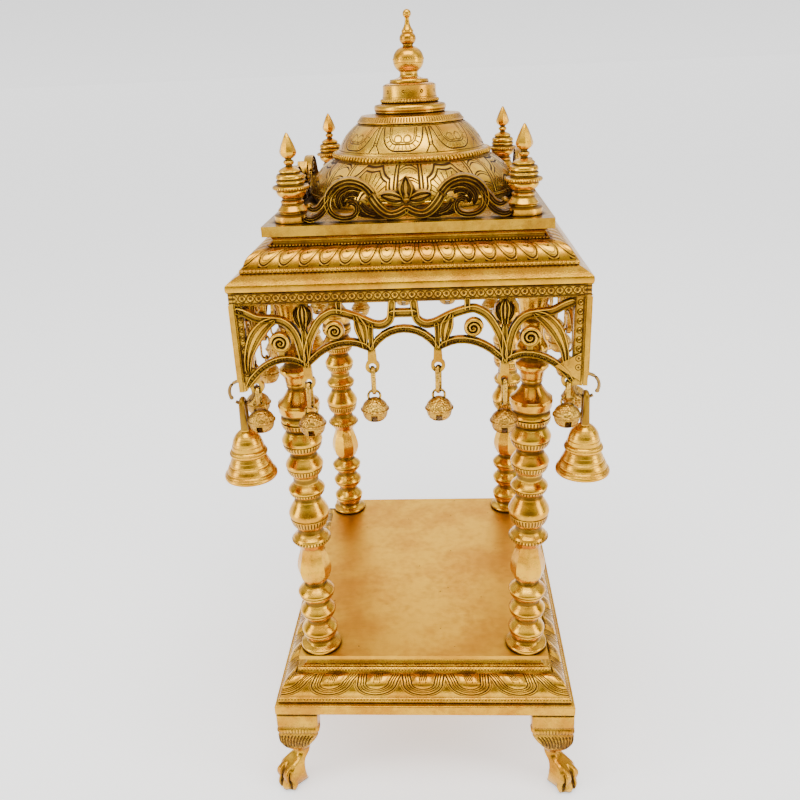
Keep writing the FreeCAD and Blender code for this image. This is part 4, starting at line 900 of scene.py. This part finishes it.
front_casting = panel_casting(FRONT_HALF, FRONT_SHIFT, FRONT_LINES, FRONT_BUDS, FRONT_VOLUTES,
                              FRONT_SPOTS, FRONT_TOPS, ends=(5.6, 7.4))
side_casting = panel_casting(SIDE_HALF, 0.0, SIDE_LINES, SIDE_BUDS, SIDE_VOLUTES,
                             SIDE_SPOTS, SIDE_TOPS, ends=(7.4, 7.4))
for casting, half in ((front_casting, FRONT_HALF), (side_casting, SIDE_HALF)):
    pitch = ring_pitch(half)
    for number in range(round(2 * (half - RING_INSET) / pitch) + 1):
        punched_ring(casting, -half + RING_INSET + number * pitch, -RING_LEVEL)
    for number in range(8):
        for side in (-1, 1):
            punched_ring(casting, side * (half - STUD_INSET), -STUD_LEVEL - number * STUD_PITCH, 1.3, 0.5)
panel_brass = brass("panel_brass", age=1.05, rough=0.18, reach=3.4,
                    bright=(0.76, 0.41, 0.024, 1), warm=(0.54, 0.25, 0.012, 1))
for side, heading in FACING.items():
    casting, away = (front_casting, FRONT_PANEL) if side in ("front", "back") else (side_casting, SIDE_PANEL)
    casting.stand(side + "_panel_scrolls", away, EAVE, heading, panel_brass)

# %% [markdown]
# ## The crests
# A crest is two scroll arches that lean on a lotus flower. It is darker than the rest,
# because its channels are deep and never see the cloth.

# %% Lines of a crest
CREST_HALF_THICK = 3.5
CREST_FRONT = 114.4
CREST_SIDE = 86.8
CREST_LINES = [
    [(22.5, 17.0, 6.5), (26.5, 22.0, 6.0), (32, 25.2, 6.2), (38.5, 26.2, 6.2), (45, 24.2, 6.2),
     (50, 19.8, 6.2),
     (52.3, 14.2, 5.6), (51.8, 8.8, 5.0), (48.5, 4.6, 4.8), (42.5, 2.8, 4.8), (36.5, 3.6, 4.6),
     (33.4, 6.8, 4.2), (33.6, 10.8, 4.0), (36.6, 12.8, 4.0), (39.6, 11.4, 3.4)],
    [(49.5, 20, 4.0), (55, 14.5, 4.4), (58.5, 10.4, 4.4), (62.5, 9.0, 4.0), (65.4, 10.8, 3.8)],
    [(52.0, 13, 4.0), (55.5, 7.4, 4.2), (60, 3.8, 4.0), (65, 2.5, 4.2), (68.8, 3.8, 3.6)],
    [(29.6, 20.6, 3.6), (34, 22.4, 4.2), (39.4, 21.8, 4.2), (44.4, 18.4, 4.0), (46.2, 13.4, 3.4),
     (44.4, 9.0, 2.4)],
    [(31.4, 17.0, 3.0), (35.6, 18.6, 3.4), (40.2, 17.2, 3.4), (42.4, 13.6, 2.8), (41.0, 10.4, 2.0)],
    [(50.4, 17.0, 3.4), (48.6, 20.4, 3.0), (44.6, 22.6, 2.6)],
    [(24.5, 17.5, 6.5), (21.5, 12.5, 7.0), (17, 7.2, 7.0), (11.5, 4.2, 6.6), (5.5, 5.0, 6.6),
     (-0.5, 8.2, 6.4)],
    [(30.6, 12.0, 3.0), (29.0, 9.6, 3.4), (26, 6.6, 3.8), (20, 4.6, 3.4)],
    [(34, 6.0, 3.2), (29, 4.0, 3.0), (25, 3.6, 3.0), (20, 2.6, 3.0), (14, 2.6, 2.6)],
    [(28.4, 20.4, 3.0), (33.6, 22.0, 3.2), (38.0, 20.8, 3.0), (39.8, 17.8, 2.8), (37.6, 16.0, 2.6),
     (36.2, 18.0, 2.2)],
]
PETALS = [
    [(0, 13.5, 4.0), (0, 17.0, 8.6), (0, 20.6, 10.8), (0, 24.0, 8.4), (0, 26.6, 4.2), (0, 28.4, 1.4)],
    [(2.5, 13.6, 3.6), (6.0, 14.4, 7.8), (10.0, 15.4, 8.8), (13.6, 16.2, 6.4), (16.8, 16.8, 1.4)],
    [(-2.5, 13.6, 3.6), (-6.0, 14.4, 7.8), (-10.0, 15.4, 8.8), (-13.6, 16.2, 6.4), (-16.8, 16.8, 1.4)],
]


def crest_casting():
    casting = Casting(CREST_HALF_THICK)
    for side in (-1, 1):
        for run in CREST_LINES:
            casting.strip([(side * x, z, width) for x, z, width in run], TRIPLE)
        for x, z, radius in ((39.2, 11.6, 2.0), (30.6, 12.0, 1.9), (65.2, 11.2, 2.0), (68.6, 4.2, 1.9)):
            casting.button(side * x, z, radius)
        casting.wire((side * 22.0, 18.6), (side * 25.6, 15.2), 2.0, 0.9)
    for petal in PETALS:
        casting.strip(petal, TRIPLE, 0.3)
    casting.button(0, 13.8, 3.4, 1.4)
    casting.button(0, 15.6, 2.9, 1.4)
    return casting


crest_brass = brass("crest_brass", age=1.3, rough=0.20, reach=4.2,
                    bright=(0.60, 0.32, 0.024, 1), warm=(0.36, 0.16, 0.010, 1))
crest = crest_casting()
for side, heading in FACING.items():
    away = CREST_FRONT if side in ("front", "back") else CREST_SIDE
    crest.stand(side + "_crest_scrolls", away, ROOF, heading, crest_brass)

# %% [markdown]
# ## Paw feet
# A foot is an angle bracket with a bulging, fluted knee, a thin ankle and a paw with four
# toes. The rough form is a stack of sections and balls. Remeshing melts them into one
# skin, and the flutes, beads and grooves between the toes are then pressed into it.

# %% Sections of a foot
LEG_ROWS = [
    (0.0, 5.0, 7.2, 0.9, 0.9), (3.0, 7.8, 9.8, 0.9, 0.9), (9.0, 10.2, 12.0, 0.9, 0.9),
    (15.5, 11.2, 12.6, 0.9, 0.9),
    (21.0, 10.2, 11.4, 0.9, 0.9), (25.0, 7.0, 8.8, 0.8, 0.8), (28.5, 2.6, 7.0, 0.7, 0.7),
    (33.0, 1.2, 6.6, 0.7, 0.7),
    (36.5, 2.0, 8.0, 0.6, 0.7), (40.0, 3.0, 10.2, 0.5, 0.8), (45.0, 3.6, 12.6, 0.35, 0.9),
    (50.5, 2.7, 14.8, 0.22, 1.0),
    (56.0, 1.2, 16.6, 0.16, 1.1), (60.6, 0.2, 17.0, 0.12, 1.15), (67.6, 0.0, 17.0, 0.10, 1.15),
    (68.2, 0.0, 17.2, 0.06, 1.14), (80.4, 0.0, 17.2, 0.06, 1.14),
]
TOES = [(-18.9, -9.0, 6.6), (-17.7, -14.6, 7.0), (-14.6, -17.7, 7.0), (-9.0, -18.9, 6.6)]
TOE_LEVEL = 6.4
LEG_HALF = 17.2


def leg_ring(out, half, cut, inner):
    """Eight corners of a section, with the inner corner cut further than the others."""
    near_side = -out - half
    far_side = -out + half
    c = half * cut
    i = half * inner
    return [(near_side + c, near_side), (far_side - c, near_side), (far_side, near_side + c),
            (far_side, far_side - i), (far_side - i, far_side), (near_side + c, far_side),
            (near_side, far_side - c), (near_side, near_side + c)]


def leg_blank():
    rows = smooth(LEG_ROWS[:-2], 3) + LEG_ROWS[-2:]
    points = [(x, y, z) for z, out, half, cut, inner in rows for x, y in leg_ring(out, half, cut, inner)]
    toes = [copied(BEAD, (x, y, TOE_LEVEL), (5.0, 5.0, reach * 0.95)) for x, y, reach in TOES]
    blank = solid_from("leg_pattern", joined([(points, sleeve(len(rows), 8))] + toes))
    modify(blank, "REMESH", mode="VOXEL", voxel_size=0.85 * MM)
    modify(blank, "SMOOTH", factor=0.5, iterations=5)
    return blank


# %% Flutes, beads and grooves
FLUTE_FOOT, FLUTE_TOP, FLUTE_PITCH = 42.0, 59.6, 2.9
KNEE_BEADS, KNEE_BEAD_PITCH = 63.8, 2.5
PAW_TOP = 25
HUB = 6.0
GROOVES = [math.radians(angle) for angle in (45, 14, 76)]


def dent(away, width):
    """1 in the middle of a groove and 0 beyond its width."""
    return max(1.0 - (away / width) ** 2, 0.0)


def knee_push(along, z):
    """How far the knee is pushed out by its flutes, its row of beads and the lines round them."""
    push = 0.0
    if FLUTE_FOOT < z < FLUTE_TOP:
        bent = abs(along) * (1 + 0.022 * (FLUTE_TOP - z)) + 0.5
        fade = min((z - FLUTE_FOOT) / 4.0, (FLUTE_TOP - z) / 1.6, 1.0)
        push -= 1.75 * dent(abs((bent / FLUTE_PITCH) % 1.0 - 0.5), 0.36) * fade
    if 59.4 < z < 60.8:
        push -= 0.7
    if 61.0 < z < 66.8:
        beside = (along / KNEE_BEAD_PITCH) % 1.0 - 0.5
        push += 1.3 * math.sqrt(max(1 - (beside / 0.5) ** 2 - ((z - KNEE_BEADS) / 2.8) ** 2, 0.0)) - 0.3
    if 67.0 < z < 68.0:
        push -= 0.55
    return push


def paw_push(x, y, z):
    """How far the paw is pressed in between its toes."""
    push = 0.0
    heading = math.atan2(-(y + HUB), -(x + HUB))
    for middle in GROOVES:
        away = abs(heading - middle) * math.hypot(x + HUB, y + HUB)
        if away < 2.4 and x + y < -17:
            fade = min(max((PAW_TOP - z) / 5.0, 0.0), max((z - 0.5) / 2.5, 0.0), 1.0)
            push -= 3.2 * dent(away, 2.2) * fade
    return push


def carve_leg(blank):
    blank.data.update()
    normals = [tuple(vertex.normal) for vertex in blank.data.vertices]
    for vertex, normal in zip(blank.data.vertices, normals):
        x, y, z = (value / MM for value in vertex.co)
        push = 0.0
        if x < -9 or y < -9:
            push += knee_push(x - y, z)
        if z < PAW_TOP and normal[2] > -0.9:
            push += paw_push(x, y, z)
        for axis, share in enumerate((1.0, 1.0, 0.5)):
            vertex.co[axis] += normal[axis] * push * share * MM
        vertex.co.z = max(vertex.co.z, 0.0)


leg_brass = brass("leg_brass", age=1.15, rough=0.14, reach=4.6,
                  bright=(0.66, 0.35, 0.018, 1), warm=(0.46, 0.19, 0.008, 1))
pattern = leg_blank()
carve_leg(pattern)
paw = shape_of(pattern, MM)
LEG_CENTRE = high("plinth").x / MM - LEG_HALF
for quarter, place in enumerate(("front_left", "front_right", "back_right", "back_left")):
    side, depth = PLACES[place]
    spot = (LEG_CENTRE * side, (LEG_CENTRE + EXTRA) * depth, 0)
    piece_from("paw_foot_" + place, copied(paw, spot, heading=quarter * math.pi / 2), leg_brass,
               replaced="leg_" + place)
print("four paw feet of", len(paw[1]), "faces")

# %% [markdown]
# ## Turned work
# Pillars, turrets and bells are turned on a lathe: an outline of radius and height runs
# once round an axis. The outlines here have the fine steps, sharp rims and grooves that
# the plain solids leave out. Some spans are filed into eight flats.

# %% A lathe
def lathe(outline, segments, flats=()):
    """An outline of (radius, z) turned round Z. It starts and ends at radius 0.
    Between the heights of each pair in flats the section has eight sides."""
    points = [(0.0, 0.0, outline[0][1])]
    for radius, z in outline[1:-1]:
        eight = any(start <= z <= end for start, end in flats)
        for number in range(segments):
            angle = number * 2 * math.pi / segments
            reach = radius
            if eight:
                from_middle = angle % (math.pi / 4) - math.pi / 8
                reach = radius * math.cos(math.pi / 8) / math.cos(from_middle)
            points.append((reach * math.cos(angle), reach * math.sin(angle), z))
    points.append((0.0, 0.0, outline[-1][1]))
    rings = len(outline) - 2
    faces = []
    for number in range(segments):
        nearby = (number + 1) % segments
        faces.append((0, 1 + nearby, 1 + number))
        for ring in range(rings - 1):
            here = 1 + ring * segments
            faces.append((here + number, here + nearby, here + segments + nearby, here + segments + number))
        top = 1 + (rings - 1) * segments
        faces.append((top + number, top + nearby, len(points) - 1))
    return points, faces


WORKED = [(0.04, 0.16), (0.09, 0.40), (0.16, 0.60), (0.25, 0.77), (0.36, 0.88), (0.39, 0.88), (0.405, 0.80),
          (0.43, 0.80), (0.445, 0.93), (0.50, 1.0), (0.56, 0.99), (0.62, 0.90), (0.72, 0.68), (0.82, 0.42),
          (0.90, 0.20), (0.96, 0.10)]


def worked_ring(start, end, bow):
    """The outline of one ring of a pillar, from (radius, z) to (radius, z)."""
    reach = (start[0] + end[0]) / 2 + bow
    answer = [start]
    for up, share in WORKED:
        base = start[0] + (end[0] - start[0]) * up
        answer.append((base + (reach - base) * share, start[1] + (end[1] - start[1]) * up))
    return answer + [end]


# %% Outline of a pillar
PILLAR_X = (low("pillar_front_right").x + high("pillar_front_right").x) / 2 / MM
PILLAR_Y = (low("pillar_back_right").y + high("pillar_back_right").y) / 2 / MM
PILLAR_FOOT = low("pillar_front_right").z / MM
PILLAR_TOP = high("pillar_front_right").z / MM
RINGS = [((11.2, 9.3), (8.9, 24.9), 4.7), ((9.3, 28.5), (9.5, 43.6), 5.2), ((9.6, 46.5), (8.2, 61.5), 6.0),
         ((9.5, 113.6), (9.7, 140.6), 6.2), ((9.5, 142.2), (9.6, 154.6), 4.6), ((9.8, 160.2),
         (9.9, 178.2), 4.6),
         ((10.2, 180.4), (10.9, 199.2), 4.8), ((7.4, 252.2), (8.2, 266.2), 3.8)]
AFTER_RING = {
    2: [(7.5, 62.4), (7.5, 63.3), (8.9, 64.2), (10.9, 66.4), (12.5, 69.6), (13.5, 73.2), (13.8, 76.6),
        (13.4, 80.4), (12.4, 84.8), (11.1, 89.0), (9.9, 93.0), (9.2, 95.6), (9.4, 96.6), (10.6, 97.6),
        (11.2, 98.6), (13.6, 101.6), (14.9, 103.2), (15.4, 103.9), (15.4, 104.6), (14.4, 105.4),
        (13.9, 106.6), (13.4, 107.2), (11.6, 108.4), (10.0, 110.8)],
    5: [(9.6, 179.3)],
    6: [(11.2, 199.8), (13.2, 201.0), (14.4, 203.6), (14.6, 205.6), (13.6, 206.2), (14.5, 206.9),
        (14.2, 209.4), (13.0, 211.2), (14.0, 212.2), (15.1, 214.2), (15.3, 217.2), (15.6, 218.0),
        (15.6, 219.4),
        (15.2, 220.2), (15.2, 221.2), (13.4, 222.4), (11.2, 224.8), (9.0, 228.0), (7.2, 231.0),
        (6.8, 232.2), (7.6, 233.0), (7.9, 235.0), (7.4, 236.0), (8.3, 237.2), (8.9, 240.6),
        (10.6, 243.4), (11.9, 244.8), (12.1, 246.2), (11.7, 247.4), (10.0, 248.4), (8.0, 250.4)],
}
post_outline = [(0.0, 0.0), (15.9, 0.0), (16.35, 0.6), (16.6, 2.0), (16.35, 3.3), (15.8, 3.8), (12.2, 4.6),
                (11.4, 5.4), (11.0, 7.4)]
for number, ring in enumerate(RINGS):
    post_outline += worked_ring(*ring) + AFTER_RING.get(number, [])
post_outline += [
    (8.0, 268.6), (7.9, 272.4), (8.6, 276.6), (8.9, 279.2), (9.4, 279.6), (9.4, 281.0), (9.0, 281.6),
    (9.2, 285.6), (10.2, 291.8), (12.4, 298.2), (15.2, 303.0), (15.7, 303.8), (16.5, 304.8), (16.6, 307.4),
    (16.2, 308.6), (15.6, 309.0), (15.6, 312.6), (15.2, 313.2), (0.0, PILLAR_TOP - PILLAR_FOOT)]
print("a pillar has", len(post_outline), "steps")

# %% Pillars
TICK_BANDS = [(118.6, 123.4), (144.9, 146.7), (163.6, 166.8), (184.2, 187.4), (102.9, 105.2),
              (201.4, 205.0), (255.0, 257.4)]
NECKS = [8.6, 26.7, 45.0, 62.6, 112.2, 141.4, 157.4, 179.3, 199.6, 211.4, 232.6, 251.4, 281.2]


def pillar_lines(finish):
    angle, z = finish.around(PILLAR_X, PILLAR_Y)
    rise = z - PILLAR_FOOT
    tick = (angle / 9.5).math("FRACT").near(0.5, 0.34)
    bands = [rise.over(start - 0.3, start) * rise.under(end, end + 0.3) for start, end in TICK_BANDS]
    ticks = tick * bands[0].highest(*bands[1:]) * 0.85
    # The wide dark bands at the necks are patina in the grooves, drawn wider and darker than the occlusion
    # gives. Part of each band is painted shade between the rings.
    return ticks.highest(*[rise.near(neck, 2.8) * 0.72 for neck in NECKS])


pillar_brass = brass("pillar_brass", lines=pillar_lines, age=0.95, rough=0.12, reach=4.8)
post = lathe(post_outline, 40, flats=[(67.0, 95.2)])
for place, (side, depth) in PLACES.items():
    spot = (PILLAR_X * side, PILLAR_Y * depth, PILLAR_FOOT)
    piece_from("turned_pillar_" + place, copied(post, spot), pillar_brass, smooth_angle=38,
               replaced="pillar_" + place)
print("turned four pillars of", len(post[1]), "faces")

# %% Turrets
TURRET = [(0.0, 0.0), (12.4, 0.0), (12.8, 0.4), (12.8, 4.4), (12.3, 4.9), (10.4, 5.3), (9.6, 5.7),
          (9.6, 6.6), (10.0, 7.0),
          (10.2, 8.0), (9.6, 8.9), (8.6, 9.9), (7.8, 11.2), (7.5, 11.7), (7.4, 12.5), (7.8, 12.8),
          (7.9, 13.7), (7.2, 14.3),
          (6.5, 15.0), (6.6, 15.9), (8.0, 16.7), (9.4, 18.0), (10.1, 19.5), (10.2, 20.6), (10.0, 21.0),
          (10.4, 21.3), (11.9, 21.8),
          (12.5, 22.5), (12.5, 23.4), (11.9, 24.1), (10.2, 24.5), (9.2, 24.8), (9.0, 25.5), (9.7, 26.0),
          (9.9, 26.8),
          (9.6, 27.5), (8.9, 27.8), (8.8, 28.3), (9.5, 28.8), (9.6, 29.8), (9.2, 30.9), (8.4, 31.7),
          (7.0, 32.0),
          (6.8, 32.5), (7.3, 32.9), (7.3, 33.7), (6.4, 34.6), (4.6, 35.6), (2.6, 36.4), (2.2, 36.9),
          (2.3, 37.4),
          (3.2, 38.0), (3.7, 39.1), (3.2, 40.2), (2.2, 40.7), (2.1, 41.3), (3.4, 42.0), (5.0, 43.4),
          (5.8, 45.2),
          (5.7, 46.4), (4.4, 50.2), (2.5, 54.4), (0.9, 57.4), (0.0, 58.2)]
TURRET_NECKS = (5.2, 12.0, 15.4, 24.9, 28.1, 32.2, 37.0, 41.0)
TURRET_HALF = 12.8
TURRET_X = high("turrets").x / MM - TURRET_HALF
TURRET_Y = high("turrets").y / MM - TURRET_HALF


def turret_lines(finish):
    angle, z = finish.around(TURRET_X, TURRET_Y)
    rise = z - ROOF
    tick = (angle / 9.0).math("FRACT").near(0.5, 0.34)
    lower_row = rise.over(20.9, 21.1) * rise.under(23.2, 23.4)
    upper_row = rise.over(27.4, 27.6) * rise.under(28.6, 28.8)
    ticks = tick * lower_row.highest(upper_row) * 0.7
    return ticks.highest(*[rise.near(neck, 1.0) * 0.75 for neck in TURRET_NECKS])


turret_brass = brass("turret_brass", lines=turret_lines, age=0.62, rough=0.15, reach=2.6)
turret = lathe(TURRET, 32, flats=[(41.9, 57.5)])
four = joined(copied(turret, (TURRET_X * side, TURRET_Y * depth, ROOF)) for side, depth in PLACES.values())
piece_from("turned_turrets", four, turret_brass, smooth_angle=38, replaced="turrets")
print("turned four turrets of", len(turret[1]), "faces")

# %% [markdown]
# ## Bells
# A small bell is a flat-topped bowl and a chased lid that meet in a sharp rim, with a slot
# below. It hangs by an eye from a link of wire. A large bell has a clapper and a tall loop.

# %% Bent wire
def wire_run(path, radius, sides=8, closed=True, square=0.0):
    """A wire along a path of (x, y, z). Its section is round, or has flats when square is near 1."""
    points = []
    count = len(path)
    for number, spot in enumerate(path):
        before = Vector(path[(number - 1) % count] if closed else path[max(number - 1, 0)])
        after = Vector(path[(number + 1) % count] if closed else path[min(number + 1, count - 1)])
        ahead_way = (after - before).normalized()
        flat_way = Vector((1, 0, 0)) if abs(ahead_way.x) < 0.7 else Vector((0, 1, 0))
        side_way = ahead_way.cross(flat_way).normalized()
        up_way = side_way.cross(ahead_way).normalized()
        for step in range(sides):
            angle = (step + 0.5) * 2 * math.pi / sides
            c = math.cos(angle)
            s = math.sin(angle)
            reach = radius * (1 + square * (1 / max(abs(c), abs(s)) - 1))
            points.append(tuple(Vector(spot) + side_way * c * reach + up_way * s * reach))
    return points, sleeve(count, sides, closed)


def widened(shape, foot, head, bottom, top):
    """A shape made wider along X, by one share at its foot and another at its head."""
    points = [(x * (foot + (head - foot) * (z - bottom) / (top - bottom)), y, z) for x, y, z in shape[0]]
    return points, shape[1]


def long_hoop(bend, long, top, steps):
    """A closed path with two round ends and straight sides, in the YZ plane."""
    path = []
    for end, middle in enumerate((top - bend, top - long + bend)):
        for number in range(steps + 1):
            angle = math.pi * (end + number / steps)
            path.append((0.0, bend * math.cos(angle), middle + bend * math.sin(angle)))
    return path


def hang(name, material, shapes, below, heading=0.0):
    """Hang a bell on its own body, so far below the top of its solid's box."""
    foot, top = (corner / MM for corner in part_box(name))
    middle = (foot + top) / 2
    place = (middle.x, middle.y, top.z - below)
    piece_from(name + "_dressed", copied(joined(shapes), place, heading=heading), material, body=name,
               smooth_angle=40, solve=True, replaced=name)


# %% Pattern of a small bell
SMALL_BELL = [(0.0, 0.0), (4.2, 0.0), (5.9, 0.5), (7.3, 1.7), (8.3, 3.5), (8.8, 5.6), (9.0, 7.3),
              (9.6, 7.6), (10.0, 8.0),
              (10.0, 8.5), (9.5, 8.9), (9.1, 9.1), (8.9, 10.2), (8.0, 12.0), (6.6, 13.6), (4.8, 15.0),
              (3.0, 16.0), (1.9, 16.4), (0.0, 16.6)]
SMALL_HOLLOW = [(0.0, 1.0), (3.8, 1.0), (6.0, 2.3), (7.3, 4.4), (7.9, 7.4), (8.0, 8.6), (6.6, 11.2),
                (3.4, 13.8), (0.0, 14.4)]


def cut_away(solid, tool):
    modify(solid, "BOOLEAN", operation="DIFFERENCE", solver="EXACT", object=tool)
    bpy.data.objects.remove(tool)


small = solid_from("small_bell_pattern", lathe(SMALL_BELL, 28))
cut_away(small, solid_from("small_hollow", lathe(SMALL_HOLLOW, 20)))
bpy.ops.object.select_all(action="DESELECT")
bpy.ops.mesh.primitive_cube_add(size=1)
mouth = bpy.context.object
mouth.scale = (4.4 * MM, 30 * MM, 4.9 * MM)
mouth.location = (0, 0, 3.75 * MM)
bpy.ops.object.transform_apply(location=True, scale=True)
cut_away(small, mouth)
small_bell = shape_of(small, MM)
print("a small bell has", len(small_bell[1]), "faces")

# %% Small bells
EYE_RADIUS = 4.2
EYE_DROP = 2.9
SMALL_DROP = 20.7
LINK_TOP = 0.2
LINK_TURNS = [math.radians(angle) for angle in (14, -10, 12, -15, 9, -13, 11)]


def chased(finish):
    return finish.cells(1.5, 0.85) * 2.6


jingle_brass = brass("jingle_brass", relief=chased, age=1.0, rough=0.2, reach=3.0, depth=0.35,
                     bright=(0.62, 0.35, 0.040, 1), warm=(0.44, 0.21, 0.020, 1))
eye_path = []
for step in range(16):
    angle = step * math.pi / 8
    eye_path.append((EYE_RADIUS * math.cos(angle), 0.0, EYE_RADIUS * math.sin(angle)))
eye = wire_run(eye_path, 0.92, 7)
jingle_names = [name for name in nodes if name.startswith("jingle_")]
for number, name in enumerate(jingle_names):
    long = (high(name).z - low(name).z) / MM - SMALL_DROP - LINK_TOP
    corner = "corner" in name
    side = name.split("_")[2 if corner else 1]
    link = widened(wire_run(long_hoop(3.5, long, -0.7, 6), 0.90, 8, square=0.7), 1.5, 1.5, -long, 0.0)
    hang(name, jingle_brass, [
        copied(small_bell, (0, 0, -long - SMALL_DROP)), copied(eye, (0, 0, -long - EYE_DROP)),
        copied(link, heading=0.0 if corner else LINK_TURNS[number % 7])], LINK_TOP, FACING[side])
print("hung", len(jingle_names), "small bells")

# %% Large bells
LARGE_BELL = [(0.0, 35.2), (3.6, 34.8), (6.6, 32.4), (8.8, 28.4), (9.8, 23.4), (10.4, 17.6), (11.4, 13.0),
              (14.0, 8.0),
              (16.4, 4.0), (17.6, 1.2), (17.9, 0.0), (18.7, 0.0), (19.1, 0.7), (19.1, 1.9), (18.8, 2.4),
              (18.9, 2.9),
              (18.1, 3.8), (17.5, 4.9), (17.1, 5.1), (17.1, 5.6), (16.0, 8.2), (15.0, 10.2), (14.7, 10.4),
              (14.7, 10.9),
              (13.6, 13.4), (12.5, 15.8), (11.9, 17.0), (12.0, 17.6), (13.2, 18.0), (13.7, 18.8),
              (13.6, 19.8), (12.9, 20.1),
              (12.8, 20.6), (12.9, 21.2), (12.4, 21.9), (11.7, 22.2), (11.7, 22.8), (11.3, 25.4),
              (11.0, 25.6), (11.0, 26.0),
              (10.4, 28.6), (9.3, 31.2), (7.6, 33.6), (5.8, 35.3), (4.0, 36.5), (2.4, 37.2), (0.0, 37.2)]
CLAPPER = [(0.0, -3.4), (1.6, -3.0), (2.9, -1.7), (3.4, 0.0), (2.9, 1.7), (1.6, 3.0), (1.1, 3.4), (1.1, 26.6),
           (0.0, 27.0)]
LARGE_DROP = 56.98
CLAPPER_LIFT = 8.0
LOOP_TOP = 4.9
BELL_CROWN = low("bell_front_left").z / MM + 36.6


def bell_lines(finish):
    z = finish.place()[2]
    return (z.folded(2.7).under(0.06, 0.22) * 0.35).highest((z - BELL_CROWN).over(0.2, 1.6) * 0.62)


bell_brass = brass("bell_brass", lines=bell_lines, age=0.55, rough=0.15, reach=3.6)
loop = widened(wire_run(long_hoop(3.6, 25.0, 3.2, 8), 1.75, 8, square=0.8), 1.6, 1.1, -21.8, 3.2)
bell_names = [name for name in nodes if name.startswith("bell_")]
for name in bell_names:
    hang(name, bell_brass, [copied(lathe(LARGE_BELL, 40), (0, 0, -LARGE_DROP)), loop,
                            copied(lathe(CLAPPER, 12), (0, 0, CLAPPER_LIFT - LARGE_DROP))], LOOP_TOP)
print("hung", len(bell_names), "large bells")

# %% Corner rings
HOOP = 8.5
WIRE = 1.2
wire_brass = brass("wire_brass", age=1.0, rough=0.25, reach=3.0,
                   bright=(0.34, 0.20, 0.055, 1), warm=(0.22, 0.11, 0.025, 1))
ring_low, ring_high = (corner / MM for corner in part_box("corner_rings"))
hoops = []
for side in (-1, 1):
    for depth in (-1, 1):
        middle = Vector(((ring_high.x - HOOP - WIRE) * side, (ring_high.y - WIRE) * depth,
                         (ring_low.z + ring_high.z) / 2))
        path = []
        for step in range(29):
            angle = math.radians(-28 + step * 332 / 28)
            path.append(tuple(middle + Vector((side * math.cos(angle), 0, math.sin(angle))) * HOOP))
        hoops += [wire_run(path, WIRE, closed=False), copied(BEAD, path[0], (1.7, 1.15, 1.7))]
piece_from("corner_ring_wires", joined(hoops), wire_brass, smooth_angle=40, solve=True,
           replaced="corner_rings")
print("hung", len(hoops) // 2, "corner rings")

# %% [markdown]
# ## Floor and light
# Metal shows what surrounds it, so the light is drawn as a room: a pale floor, a large
# soft window above, two paler ones at the sides, a small one behind, and a sky whose
# darker field, softened at its edges, puts the brown stripe into the polished bands.

# %% Floor
PAPER = (0.90, 0.90, 0.90, 1)
WHITE = (1.0, 1.0, 1.0, 1)
paper = Finish("studio_paper").metal({
    "Base Color": PAPER, "Roughness": 0.9, "Metallic": 0.0,
    "Emission Color": WHITE, "Emission Strength": 0.85})
bpy.ops.object.select_all(action="DESELECT")
bpy.ops.mesh.primitive_plane_add(size=120, location=(0, 0, -0.0005))
floor = bpy.context.object
floor.name = "studio_floor"
floor.data.materials.append(paper)
print("the floor lies at", floor.location.z)

# %% Sky
SKY_DEPTH = [(0.0, 0.24), (0.05, 0.26), (0.20, 0.92), (0.34, 0.55), (0.50, 0.30), (0.66, 0.82)]
SKY_HEIGHT = [(0.0, 0.3), (0.50, 1.0), (0.56, 0.80), (0.64, 0.34), (0.72, 0.60), (0.84, 1.0), (1.0, 0.75)]
SKY_STRENGTH = 2.2
world = bpy.data.worlds.new("studio")
world.use_nodes = True
bpy.context.scene.world = world
tree = world.node_tree
tree.nodes.clear()
where = tree.nodes.new("ShaderNodeTexCoord")
split = tree.nodes.new("ShaderNodeSeparateXYZ")
tree.links.new(where.outputs["Generated"], split.inputs[0])


def sky_ramp(axis, stops):
    """A grey that follows one axis of the direction, from -1 to 1."""
    shift = tree.nodes.new("ShaderNodeMapRange")
    shift.inputs["From Min"].default_value = -1.0
    shift.inputs["From Max"].default_value = 1.0
    ramp = tree.nodes.new("ShaderNodeValToRGB")
    tree.links.new(split.outputs[axis], shift.inputs["Value"])
    tree.links.new(shift.outputs[0], ramp.inputs[0])
    for number, (place, value) in enumerate(stops):
        stop = ramp.color_ramp.elements[number] if number < 2 else ramp.color_ramp.elements.new(place)
        stop.position = place
        stop.color = (value, value, value, 1)
    return ramp.outputs[0]


both = tree.nodes.new("ShaderNodeVectorMath")
both.operation = "MULTIPLY"
glow = tree.nodes.new("ShaderNodeBackground")
result = tree.nodes.new("ShaderNodeOutputWorld")
tree.links.new(sky_ramp("Y", SKY_DEPTH), both.inputs[0])
tree.links.new(sky_ramp("Z", SKY_HEIGHT), both.inputs[1])
tree.links.new(both.outputs[0], glow.inputs[0])
tree.links.new(glow.outputs[0], result.inputs[0])
glow.inputs[1].default_value = SKY_STRENGTH
print("the sky has", len(SKY_DEPTH) + len(SKY_HEIGHT), "stops")

# %% Soft windows
AIM = Vector((0, 0, 0.3))
WINDOWS = {
    "top_window": ((0.0, -0.55, 1.7), (1.2, 0.7), 17),
    "left_window": ((-1.5, -0.7, 0.75), (0.55, 1.3), 13),
    "right_window": ((1.5, -0.7, 0.75), (0.55, 1.3), 13),
    "back_window": ((0.0, 1.9, 1.5), (1.2, 0.35), 4),
}
for name, (place, (wide, tall), watts) in WINDOWS.items():
    bpy.ops.object.light_add(type="AREA", location=place)
    lamp = bpy.context.object
    lamp.name = name
    lamp.data.shape = "RECTANGLE"
    lamp.data.size = wide
    lamp.data.size_y = tall
    lamp.data.energy = watts
    lamp.data.color = (1.0, 0.98, 0.95)
    lamp.rotation_euler = (AIM - Vector(place)).to_track_quat("-Z", "Y").to_euler()
print(len(WINDOWS), "soft windows are lit")
